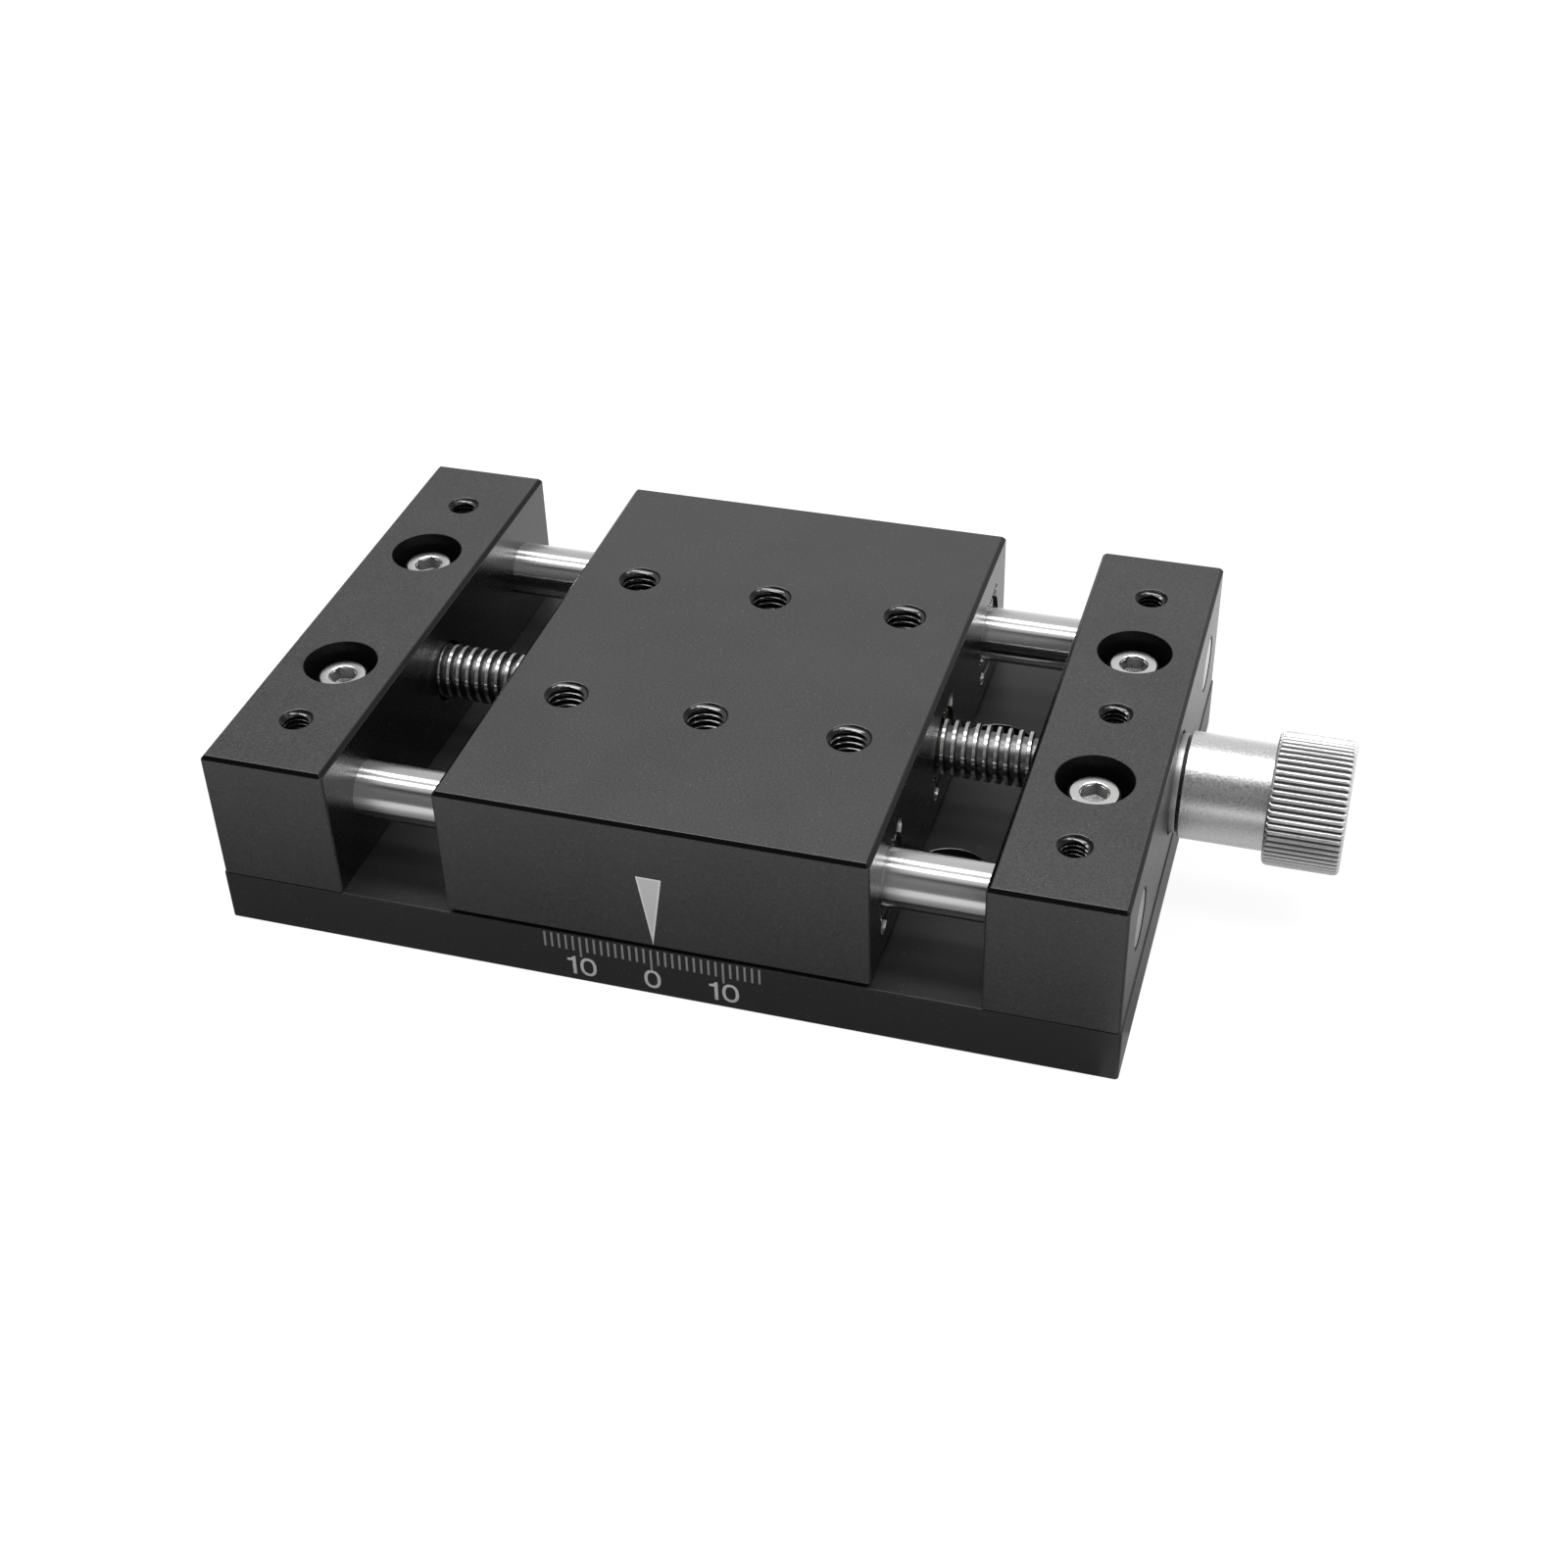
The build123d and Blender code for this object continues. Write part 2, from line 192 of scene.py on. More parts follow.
def lathe(
    outline: Sequence[Point],
    segments: int,
    skin: Skin = Skin.FACE,
    runs: dict[int, Skin] | None = None,
) -> Shell:
    """Turns a closed outline about +Z.

    Args:
        outline: Points of (place along the axis, radius).
        segments: Faces round the axis.
        skin: Skin of the faces.
        runs: Other skins, by the number of the outline's run.

    Returns:
        The closed shell.
    """
    angles = np.arange(segments) * TURN / segments
    circle = np.stack([np.cos(angles), np.sin(angles)], 1)
    points: list[np.ndarray] = []
    rows: list[list[int]] = []
    count = 0
    for along, radius in outline:
        ring = circle * radius if radius > 0 else np.zeros((1, 2))
        points.append(np.column_stack([ring, np.full(len(ring), along)]))
        rows.append(list(range(count, count + len(ring))))
        count += len(ring)
    faces: list[tuple[int, ...]] = []
    skins: list[Skin] = []
    for run, (near, far) in enumerate(zip(rows, rows[1:] + rows[:1])):
        if len(near) == len(far) == 1:
            continue
        skins += [(runs or {}).get(run, skin)] * segments
        for index in range(segments):
            after = (index + 1) % segments
            corners = [
                near[index % len(near)],
                near[after % len(near)],
                far[after % len(far)],
                far[index % len(far)],
            ]
            faces.append(tuple(dict.fromkeys(corners)))
    return Shell(np.vstack(points), faces, skins)


def on_axis(shape: Shell, x: float = 0.0, y: float = 0.0) -> Shell:
    """A turned shape laid along X at the height of the lead screw."""
    return shape.moved(Facing.DRIVE, (x, y, AXIS_HEIGHT))


def eased(outline: Sequence[Point], reach: float, steps: int = 3) -> list[Point]:
    """Rounds the corners of a closed outline. Corners on the axis stay sharp.

    Args:
        outline: Points of (place along the axis, radius).
        reach: How far from each corner the rounding starts.
        steps: Points on each rounded corner, less one.

    Returns:
        The outline with rounded corners.
    """
    result: list[Point] = []
    for index, (along, radius) in enumerate(outline):
        corner = Vector((along, radius))
        before = Vector(outline[index - 1]) - corner
        after = Vector(outline[(index + 1) % len(outline)]) - corner
        if radius == 0 or before.length == 0 or after.length == 0:
            result.append((along, radius))
            continue
        start = corner + before.normalized() * min(reach, before.length * EASE_SHARE)
        end = corner + after.normalized() * min(reach, after.length * EASE_SHARE)
        for step in range(steps + 1):
            share = step / steps
            point = start.lerp(corner, share).lerp(corner.lerp(end, share), share)
            result.append((point.x, point.y))
    return result


def quarter(bend: float) -> list[Point]:
    """A quarter round from its start: how far back and how far out each point lies."""
    turns = [math.radians(angle) for angle in range(0, 91, 15)]
    return [(bend * (math.cos(turn) - 1), bend * (1 - math.sin(turn))) for turn in turns]


def hole(*steps: Point, lip: float = 0.09, mouth: float = 0.0) -> list[Point]:
    """Outline of a hole that opens upwards at height zero, with a slightly round rim.

    Args:
        *steps: (radius, depth) of each part of the hole, the shallowest first.
        lip: Radius of the rim's rounding.
        mouth: Size of a 45 degree countersink.

    Returns:
        Points of (height, radius) for the cutter.
    """
    radius = steps[0][0]
    wide = radius + mouth + lip
    outline = [(OVER, 0.0), (OVER, wide), (0.0, wide)]
    if mouth:
        outline += [(-0.4 * lip, radius + mouth), (-mouth, radius)]
    else:
        for angle in (60, 30, 0):
            turn = math.radians(angle)
            outline.append((lip * (math.sin(turn) - 1), wide - lip * math.cos(turn)))
    for (near, depth), (far, _) in zip(steps, steps[1:]):
        outline += [(-depth, near), (-depth, far)]
    return outline + [(-steps[-1][1], steps[-1][0]), (-steps[-1][1], 0.0)]


def open_end(
    face: float, way: int, radius: float, wide: float = 0.09, deep: float = 0.08
) -> list[Point]:
    """The open end of a passage's outline with its broken rim, from the axis inwards.

    Args:
        face: Where the passage opens along the axis.
        way: 1 if it opens towards larger numbers, and -1 if towards smaller ones.
        radius: Radius behind the rim.
        wide: How much wider the rim is.
        deep: How far the rim reaches in.

    Returns:
        Points of (place along the axis, radius).
    """
    over = face + way * OVER
    rim = radius + wide
    return [(over, 0.0), (over, rim), (face, rim), (face - way * deep, radius)]


def rounded_plate(
    size: Place, middle: Place, edges: Point, corner: float, shaded_ends: tuple[int, ...] = ()
) -> Shell:
    """A plate with chamfered edges, eased once more so that they catch the light.

    Args:
        size: Length, width and height.
        middle: Middle of the plate's underside.
        edges: How far the lower and the upper edges' chamfers reach.
        corner: Radius of the upright corners.
        shaded_ends: Sides along X, 1 or -1, whose end faces take the end skin, painted shade.

    Returns:
        The closed shell.
    """
    length, width, height = size
    wall = width / 2
    low, high = edges
    section = [(0, 0), (0, wall - low), (low, wall)]
    section += [(height - high, wall), (height, wall - high), (height, 0)]
    levels = [point for point in eased(section, EASE) if point[1] > 0]
    chamfers = (3, 11)  # rows of faces between the eased corners
    arc = np.radians(np.linspace(0, 90, 7))
    points, count = [], 4 * len(arc)
    for up, reach in levels:
        inset = wall - reach
        radius = max(corner - inset, SMALLEST)
        for quarter, (sign_x, sign_y) in enumerate(((1, 1), (-1, 1), (-1, -1), (1, -1))):
            angle = arc + quarter * math.pi / 2
            center_x = sign_x * (length / 2 - inset - radius)
            center_y = sign_y * (wall - inset - radius)
            x = center_x + radius * np.cos(angle)
            y = center_y + radius * np.sin(angle)
            points.append(np.column_stack([x, y, np.full(len(arc), up)]))
    faces: list[tuple[int, ...]] = []
    skins: list[Skin] = []
    for level in range(len(levels) - 1):
        low, high = level * count, (level + 1) * count
        # Chamfer rows take the edge skin, painted shade on the black pieces.
        row = [Skin.EDGE if level in chamfers else Skin.FACE] * count
        for side in shaded_ends if level not in chamfers else ():
            row[count - 1 if side > 0 else count // 2 - 1] = Skin.END
        skins += row
        for index in range(count):
            after = (index + 1) % count
            faces.append((low + index, low + after, high + after, high + index))
    top = (len(levels) - 1) * count
    faces += [tuple(range(count - 1, -1, -1)), tuple(range(top, top + count))]
    skins += [Skin.FACE] * 2
    return Shell(np.vstack(points) + np.array(middle), faces, skins)


# Node trees


class Tree:
    """A node tree under construction, for a shape or for a finish."""

    def __init__(self, tree: bpy.types.NodeTree) -> None:
        """Takes over an empty tree."""
        self.tree = tree
        self.source: bpy.types.Node | None = None

    @classmethod
    def of(cls, owner: bpy.types.Material | bpy.types.World) -> "Tree":
        """The emptied node tree of a material or of the world.

        Args:
            owner: The material or the world.

        Returns:
            Its tree.
        """
        owner.use_nodes = True
        owner.node_tree.nodes.clear()
        return cls(owner.node_tree)

    @classmethod
    def group(
        cls, name: str, kind: str, inputs: dict[str, tuple], outputs: dict[str, str]
    ) -> "Tree":
        """Starts a node group with named sockets.

        Args:
            name: Name of the group.
            kind: Blender's name for the kind of tree.
            inputs: Socket type and default by name.
            outputs: Socket type by name.

        Returns:
            The tree, with its group input as source.
        """
        made = cls(bpy.data.node_groups.new(name, kind))
        for title, (socket, default) in inputs.items():
            item = made.tree.interface.new_socket(title, in_out="INPUT", socket_type=socket)
            if default is not None:
                item.default_value = default
        for title, socket in outputs.items():
            made.tree.interface.new_socket(title, in_out="OUTPUT", socket_type=socket)
        made.source = made.tree.nodes.new("NodeGroupInput")
        return made

    def given(self, name: str) -> Socket:
        """The group's input of this name."""
        return self.source.outputs[name]

    def feed(self, socket: Socket, value: object) -> None:
        """Links a socket to another one, or writes a value on it.

        Args:
            socket: The input to feed.
            value: The other socket or the value.
        """
        if isinstance(value, bpy.types.NodeSocket):
            self.tree.links.new(value, socket)
        else:
            socket.default_value = value

    def add(self, kind: str, inputs: dict | None = None, **settings: object) -> bpy.types.Node:
        """Adds a node.

        Args:
            kind: Blender's name for the node.
            inputs: Values or sockets by input name or number.
            **settings: Values of the node's own properties.

        Returns:
            The new node.
        """
        node = self.tree.nodes.new(kind)
        for key, value in settings.items():
            setattr(node, key, value)
        for key, value in (inputs or {}).items():
            self.feed(node.inputs[key], value)
        return node

    def math(self, operation: str, *values: object, clamp: bool = False) -> Socket:
        """Adds a sum of this kind and gives its result."""
        inputs = dict(enumerate(values))
        return self.add("ShaderNodeMath", inputs, operation=operation, use_clamp=clamp).outputs[0]

    def ramp(self, value: Socket, start: float, end: float) -> Socket:
        """A level that climbs from nought at start to one at end and stays there."""
        steep = 1 / (end - start)
        return self.math("MULTIPLY_ADD", value, steep, -start * steep, clamp=True)

    def parts(self, vector: Socket) -> Sequence[Socket]:
        """The three numbers of a vector."""
        return self.add("ShaderNodeSeparateXYZ", {0: vector}).outputs

    def vector(self, *numbers: object) -> Socket:
        """A vector of up to three numbers."""
        return self.add("ShaderNodeCombineXYZ", dict(enumerate(numbers))).outputs[0]

    def place(self) -> Socket:
        """Where a point of the surface is, in the object's own frame."""
        return self.add("ShaderNodeTexCoord").outputs["Object"]

    def by_ray(self, path: bpy.types.Node, other: bpy.types.Node, seen: bpy.types.Node) -> Socket:
        """One shader for what the camera sees and another one for all other rays."""
        inputs = {0: path.outputs["Is Camera Ray"], 1: other.outputs[0], 2: seen.outputs[0]}
        return self.add("ShaderNodeMixShader", inputs).outputs[0]

    def end(self, kind: str, surface: Socket) -> None:
        """Adds the output node of a material or of the world."""
        self.feed(self.add(kind).inputs["Surface"], surface)

    def finish_shape(self, geometry: Socket, skins: Sequence[str] = ("Material",)) -> None:
        """Ends a shape's tree: instances made real, then the material of each skin.

        Args:
            geometry: The finished shape.
            skins: Names of the material inputs, in the order of the skins.
        """
        done = self.add("GeometryNodeRealizeInstances", {"Geometry": geometry}).outputs[0]
        for index, name in enumerate(skins):
            inputs: dict[str, object] = {"Geometry": done, "Material": self.given(name)}
            if len(skins) > 1:
                number = self.add("GeometryNodeInputMaterialIndex").outputs[0]
                inputs["Selection"] = self.math("COMPARE", number, float(index), 0.1)
            done = self.add("GeometryNodeSetMaterial", inputs).outputs[0]
        out = self.tree.nodes.new("NodeGroupOutput")
        self.tree.links.new(done, out.inputs["Geometry"])

    def finish_values(self, **values: Socket) -> None:
        """Ends a finish's group.

        Args:
            **values: The socket for each output, by its name in small letters.
        """
        out = self.tree.nodes.new("NodeGroupOutput")
        for name, value in values.items():
            self.tree.links.new(value, out.inputs[name.capitalize()])


FLOAT, INTEGER = "NodeSocketFloat", "NodeSocketInt"
GEOMETRY, MATERIAL, OBJECT = "NodeSocketGeometry", "NodeSocketMaterial", "NodeSocketObject"
SHAPE_OUT = {"Geometry": GEOMETRY}


def helix_tree() -> Tree:
    """A round bar about +Z with a right-hand thread, closed at both ends.

    Returns:
        The tree, with the thread's sizes as inputs in metres.
    """
    inputs = {
        "Geometry": (GEOMETRY, None),
        "Start": (FLOAT, 0.0),
        "End": (FLOAT, 0.01),
        "Pitch": (FLOAT, 0.001),
        "Root": (FLOAT, 0.002),
        "Crest": (FLOAT, 0.003),
        "Flank": (FLOAT, 0.35),
        "Land": (FLOAT, 0.125),
        "Fade": (FLOAT, 0.0005),
        "Around": (INTEGER, 48),
        "Steps": (INTEGER, 8),
        "Material": (MATERIAL, None),
    }
    tree = Tree.group("thread", "GeometryNodeTree", inputs, SHAPE_OUT)
    get, calc = tree.given, tree.math
    turns = calc("DIVIDE", calc("SUBTRACT", get("End"), get("Start")), get("Pitch"))
    rows = calc("CEIL", calc("MULTIPLY", calc("ADD", turns, 3.0), get("Steps")))
    counts = {"Vertices X": calc("ADD", rows, 1.0), "Vertices Y": calc("ADD", get("Around"), 1.0)}
    grid = tree.add("GeometryNodeMeshGrid", {"Size X": 1.0, "Size Y": 1.0} | counts)
    across, up, _ = tree.parts(tree.add("GeometryNodeInputPosition").outputs[0])
    row = calc("MULTIPLY", calc("ADD", across, 0.5), rows)
    share = calc("ADD", up, 0.5)
    turn = calc("DIVIDE", row, get("Steps"))
    wound = calc("SUBTRACT", calc("ADD", turn, share), 2.0)
    climb = calc("MULTIPLY", wound, get("Pitch"))
    along = calc("MAXIMUM", calc("ADD", get("Start"), climb), get("Start"))
    along = calc("MINIMUM", along, get("End"))
    wave = calc("MULTIPLY", calc("PINGPONG", turn, 0.5), 2.0)
    slope = calc("MULTIPLY", get("Flank"), 2.0)
    foot = calc("SUBTRACT", calc("SUBTRACT", 1.0, get("Land")), slope)
    rise = calc("DIVIDE", calc("SUBTRACT", wave, foot), slope, clamp=True)
    near, far = calc("SUBTRACT", along, get("Start")), calc("SUBTRACT", get("End"), along)
    fade = calc("DIVIDE", calc("MINIMUM", near, far), get("Fade"), clamp=True)
    depth = calc("SUBTRACT", get("Crest"), get("Root"))
    height = calc("MULTIPLY", depth, calc("MULTIPLY", rise, fade))
    begun = calc("GREATER_THAN", wound, -0.5)
    inside = calc("MULTIPLY", begun, calc("LESS_THAN", wound, calc("ADD", turns, 0.5)))
    radius = calc("MULTIPLY", calc("ADD", get("Root"), height), inside)
    angle = calc("MULTIPLY", share, TURN)
    x = calc("MULTIPLY", radius, calc("COSINE", angle))
    y = calc("MULTIPLY", radius, calc("SINE", angle))
    moved = {"Geometry": grid.outputs[0], "Position": tree.vector(x, y, along)}
    bent = tree.add("GeometryNodeSetPosition", moved).outputs[0]
    closed = tree.add("GeometryNodeMergeByDistance", {"Geometry": bent, "Distance": 1e-6})
    tree.finish_shape(closed.outputs[0])
    return tree


def flute_tree() -> Tree:
    """Straight grooves round a body about +Z: no point reaches past the grooved rim.

    Returns:
        The tree, with the flutes' sizes as inputs in metres.
    """
    inputs = {
        "Geometry": (GEOMETRY, None),
        "Low": (FLOAT, 0.0),
        "High": (FLOAT, 0.01),
        "Radius": (FLOAT, 0.009),
        "Depth": (FLOAT, 0.0003),
        "Land": (FLOAT, 0.25),
        "Count": (FLOAT, 60.0),
        "Material": (MATERIAL, None),
    }
    tree = Tree.group("flutes", "GeometryNodeTree", inputs, SHAPE_OUT)
    get, calc = tree.given, tree.math
    x, y, z = tree.parts(tree.add("GeometryNodeInputPosition").outputs[0])
    reach = calc("SQRT", calc("ADD", calc("MULTIPLY", x, x), calc("MULTIPLY", y, y)))
    turn = calc("DIVIDE", calc("ARCTAN2", y, x), TURN)
    wave = calc("MULTIPLY", calc("PINGPONG", calc("MULTIPLY", turn, get("Count")), 0.5), 2.0)
    rise = calc("SUBTRACT", wave, get("Land"))
    groove = calc("DIVIDE", rise, calc("SUBTRACT", 1.0, get("Land")), clamp=True)
    limit = calc("SUBTRACT", get("Radius"), calc("MULTIPLY", get("Depth"), groove))
    share = calc("DIVIDE", calc("MINIMUM", reach, limit), calc("MAXIMUM", reach, 1e-6))
    place = tree.vector(calc("MULTIPLY", x, share), calc("MULTIPLY", y, share), z)
    above, below = calc("GREATER_THAN", z, get("Low")), calc("LESS_THAN", z, get("High"))
    moved = {"Selection": calc("MULTIPLY", above, below), "Position": place}
    cut = tree.add("GeometryNodeSetPosition", {"Geometry": get("Geometry")} | moved)
    tree.finish_shape(cut.outputs[0])
    return tree


def placing_tree() -> Tree:
    """One copy of a small piece at each point, turned to the point's own direction.

    Returns:
        The tree, with the small piece as an input.
    """
    inputs = {
        "Geometry": (GEOMETRY, None),
        "Piece": (OBJECT, None),
        "Material": (MATERIAL, None),
        "Socket": (MATERIAL, None),
    }
    tree = Tree.group("placing", "GeometryNodeTree", inputs, SHAPE_OUT)
    named = "GeometryNodeInputNamedAttribute"
    facing = tree.add(named, {"Name": "facing"}, data_type="FLOAT_VECTOR").outputs[0]
    roll = tree.add(named, {"Name": "roll"}, data_type="FLOAT").outputs[0]
    aligned = tree.add("FunctionNodeAlignRotationToVector", {"Vector": facing}, axis="Z")
    own = tree.add("FunctionNodeAxisAngleToRotation", {"Axis": (0.0, 0.0, 1.0), "Angle": roll})
    turned = tree.add(
        "FunctionNodeRotateRotation",
        {"Rotation": aligned.outputs[0], "Rotate By": own.outputs[0]},
        rotation_space="LOCAL",
    )
    piece = tree.add("GeometryNodeObjectInfo", {"Object": tree.given("Piece"), "As Instance": True})
    points = tree.add(
        "GeometryNodeInstanceOnPoints",
        {
            "Points": tree.given("Geometry"),
            "Instance": piece.outputs["Geometry"],
            "Rotation": turned.outputs[0],
        },
    )
    tree.finish_shape(points.outputs[0], ("Material", "Socket"))
    return tree


def tick_tree() -> Tree:
    """The marks of the scale: a row of thin bars, longer at every tenth.

    Returns:
        The tree, with the scale's sizes as inputs in metres.
    """
    inputs = {
        "Geometry": (GEOMETRY, None),
        "Count": (INTEGER, 31),
        "Pitch": (FLOAT, 0.001),
        "Width": (FLOAT, 0.0002),
        "Short": (FLOAT, 0.0025),
        "Long": (FLOAT, 0.0035),
        "Thick": (FLOAT, 0.00004),
        "Face": (FLOAT, -0.04),
        "Top": (FLOAT, 0.0078),
        "Material": (MATERIAL, None),
    }
    tree = Tree.group("scale_marks", "GeometryNodeTree", inputs, SHAPE_OUT)
    get, calc = tree.given, tree.math
    half_step = calc("MULTIPLY", get("Pitch"), -0.5)
    first = calc("MULTIPLY", calc("SUBTRACT", get("Count"), 1.0), half_step)
    line = {"Start Location": tree.vector(first, get("Face"), get("Top"))}
    line |= {"Count": get("Count"), "Offset": tree.vector(get("Pitch"))}
    row = tree.add("GeometryNodeMeshLine", line)
    index = tree.add("GeometryNodeInputIndex").outputs[0]
    tenth = calc("COMPARE", calc("FLOORED_MODULO", index, 10.0), 5.0, 0.1)
    extra = calc("MULTIPLY", calc("SUBTRACT", get("Long"), get("Short")), tenth)
    length = calc("ADD", get("Short"), extra)
    drop = tree.vector(0.0, 0.0, calc("MULTIPLY", length, -0.5))
    middle = tree.add("GeometryNodeSetPosition", {"Geometry": row.outputs[0], "Offset": drop})
    bar = tree.add("GeometryNodeMeshCube", {"Size": (1.0, 1.0, 1.0)})
    bars = tree.add(
        "GeometryNodeInstanceOnPoints",
        {
            "Points": middle.outputs[0],
            "Instance": bar.outputs[0],
            "Scale": tree.vector(get("Width"), get("Thick"), length),
        },
    )
    tree.finish_shape(bars.outputs[0])
    return tree


HELIX, FLUTES, PLACING, TICKS = helix_tree(), flute_tree(), placing_tree(), tick_tree()


def grow(base: bpy.types.Object, tree: Tree, values: dict[str, object]) -> None:
    """Puts a shape's tree on an object and sets its named inputs.

    Args:
        base: The object.
        tree: The shape's tree.
        values: Values of the inputs by name.
    """
    modifier = base.modifiers.new(tree.tree.name, "NODES")
    modifier.node_group = tree.tree
    for item in tree.tree.interface.items_tree:
        if item.in_out == "INPUT" and item.name in values:
            modifier[item.identifier] = values[item.name]


def plain(source: bpy.types.Object, name: str) -> bpy.types.Object:
    """Turns an object with modifiers into a plain mesh object and removes the source.

    Args:
        source: The object with its modifiers.
        name: Name of the result.

    Returns:
        The plain object.
    """
    graph = bpy.context.evaluated_depsgraph_get()
    mesh = bpy.data.meshes.new_from_object(source.evaluated_get(graph))
    bpy.data.objects.remove(source)
    mesh.name = name
    return link(name, mesh)


def smooth(piece: bpy.types.Object, angle: float = 32.0) -> bpy.types.Object:
    """Shades a piece smoothly with sharp edges past an angle, weighted by face area.

    Args:
        piece: The piece to shade.
        angle: Edges sharper than this, in degrees, stay sharp.

    Returns:
        The same piece as a plain mesh.
    """
    piece.data.shade_smooth()
    piece.data.set_sharp_from_angle(angle=math.radians(angle))
    modifier = piece.modifiers.new("even_faces", "WEIGHTED_NORMAL")
    modifier.keep_sharp = True
    name = piece.name
    piece.name = name + "_source"
    return plain(piece, name)


def threaded(
    start: float,
    end: float,
    pitch: float,
    root: float,
    crest: float,
    flank: float = 0.36,
    land: float = 0.125,
    fade: float = 0.5,
    around: int = 48,
    steps: int = 8,
) -> Shell:
    """A threaded bar about +Z as a shell.

    Args:
        start: Where it starts along the axis.
        end: Where it ends.
        pitch: Advance in one turn.
        root: Radius at the bottom of the thread.
        crest: Radius at its top.
        flank: Share of the pitch that one flank takes.
        land: Share of the pitch that the crest takes.
        fade: Length over which the thread runs out at each end.
        around: Faces round the axis.
        steps: Rows of faces in one pitch.

    Returns:
        The closed shell.
    """
    base = link("thread_source", bpy.data.meshes.new("thread_source"))
    sizes = {"Start": start, "End": end, "Pitch": pitch}
    sizes |= {"Root": root, "Crest": crest, "Fade": fade}
    values: dict[str, object] = {name: size * MM for name, size in sizes.items()}
    values |= {"Flank": flank, "Land": land, "Around": around, "Steps": steps}
    grow(base, HELIX, values)
    made = plain(base, "thread")
    points = np.array([vertex.co for vertex in made.data.vertices]) / MM
    faces = [tuple(polygon.vertices) for polygon in made.data.polygons]
    bpy.data.objects.remove(made)
    reach = np.hypot(points[:, 0], points[:, 1])
    limit = crest - 0.1 * (crest - root)  # the crest's faces lie past it
    # Faces below the crest take the edge skin, painted shade on the lead screw.
    skins = [Skin.FACE if reach[list(face)].min() > limit else Skin.EDGE for face in faces]
    return Shell(points, faces, skins)


def cut(
    piece: bpy.types.Object,
    tools: Sequence[bpy.types.Object],
    name: str,
    mode: str = "INDEX",
) -> bpy.types.Object:
    """Cuts tools out of a piece, one after the other, and removes them.

    Args:
        piece: The piece.
        tools: The tools, in the order of their cuts.
        name: Name of the result.
        mode: How the cut faces get their materials, as Blender names it.

    Returns:
        The carved piece.
    """
    for tool in tools:
        modifier = piece.modifiers.new(tool.name, "BOOLEAN")
        modifier.operation = "DIFFERENCE"
        modifier.solver = "EXACT"
        modifier.material_mode = mode
        modifier.object = tool
    made = plain(piece, name)
    for tool in tools:
        bpy.data.objects.remove(tool)
    return made


def absorb(piece: bpy.types.Object, other: bpy.types.Object) -> None:
    """Adds another piece's mesh to a piece and removes the other one.

    Args:
        piece: The piece that grows.
        other: The piece that it takes up.
    """
    work = bmesh.new()
    work.from_mesh(piece.data)
    work.from_mesh(other.data)
    work.to_mesh(piece.data)
    work.free()
    bpy.data.objects.remove(other)


def carved(
    block: Shell, cutters: Sequence[Sequence[Shell]], name: str, finishes: Sequence["Finish"]
) -> bpy.types.Object:
    """Cuts groups of shapes out of a block, one group after the other.

    Args:
        block: The solid block.
        cutters: Groups of cutters. Those in one group don't touch each other.
        name: Name of the piece.
        finishes: The finishes of the skins.

    Returns:
        The carved piece.
    """
    piece = block.to_object(name + "_block")
    tools = [
        group[0].with_others(group[1:]).to_object(f"{name}_cutter_{index}")
        for index, group in enumerate(cutters)
    ]
    for shape in [piece] + tools:
        paint(shape, finishes)
    return smooth(cut(piece, tools, name))


# Finishes


def grain_group() -> Tree:
    """Fine pits and grains, and slow changes of tone, over a blasted or ground surface.

    Returns:
        The group, which puts out a height and a tone.
    """
    inputs = {"Size": (FLOAT, 0.0002), "Stretch": (FLOAT, 1.0)}
    outputs = {"Height": FLOAT, "Tone": FLOAT}
    tree = Tree.group("fine_grain", "ShaderNodeTree", inputs, outputs)
    place = tree.place()
    x, y, z = tree.parts(place)
    drawn = tree.vector(tree.math("MULTIPLY", x, tree.given("Stretch")), y, z)
    scale = tree.math("DIVIDE", 1.0, tree.given("Size"))
    fine = tree.add("ShaderNodeTexNoise", {"Vector": drawn, "Scale": scale, "Detail": 2.0})
    slow = tree.add("ShaderNodeTexNoise", {"Vector": place, "Scale": 90.0, "Detail": 3.0})
    speckle = tree.math("MULTIPLY_ADD", fine.outputs[0], 1.6, -0.5)
    tone = tree.math("MULTIPLY_ADD", slow.outputs[0], 0.4, speckle)
    tree.finish_values(height=fine.outputs[0], tone=tone)
    return tree


def ring_group() -> Tree:
    """Fine turning marks round the axis of the lead screw.

    Returns:
        The group, which puts out a height.
    """
    inputs = {"Pitch": (FLOAT, 0.00015)}
    tree = Tree.group("turning_marks", "ShaderNodeTree", inputs, {"Height": FLOAT})
    calc, place = tree.math, tree.place()
    x, y, z = tree.parts(place)
    up = calc("SUBTRACT", z, AXIS_HEIGHT * MM)
    reach = calc("SQRT", calc("ADD", calc("MULTIPLY", up, up), calc("MULTIPLY", y, y)))
    turns = calc("DIVIDE", calc("ADD", x, reach), tree.given("Pitch"))
    wave = calc("SINE", calc("MULTIPLY", turns, TURN))
    uneven = tree.add("ShaderNodeTexNoise", {"Vector": place, "Scale": 900.0, "Detail": 1.0})
    tree.finish_values(height=calc("MULTIPLY", wave, uneven.outputs[0]))
    return tree


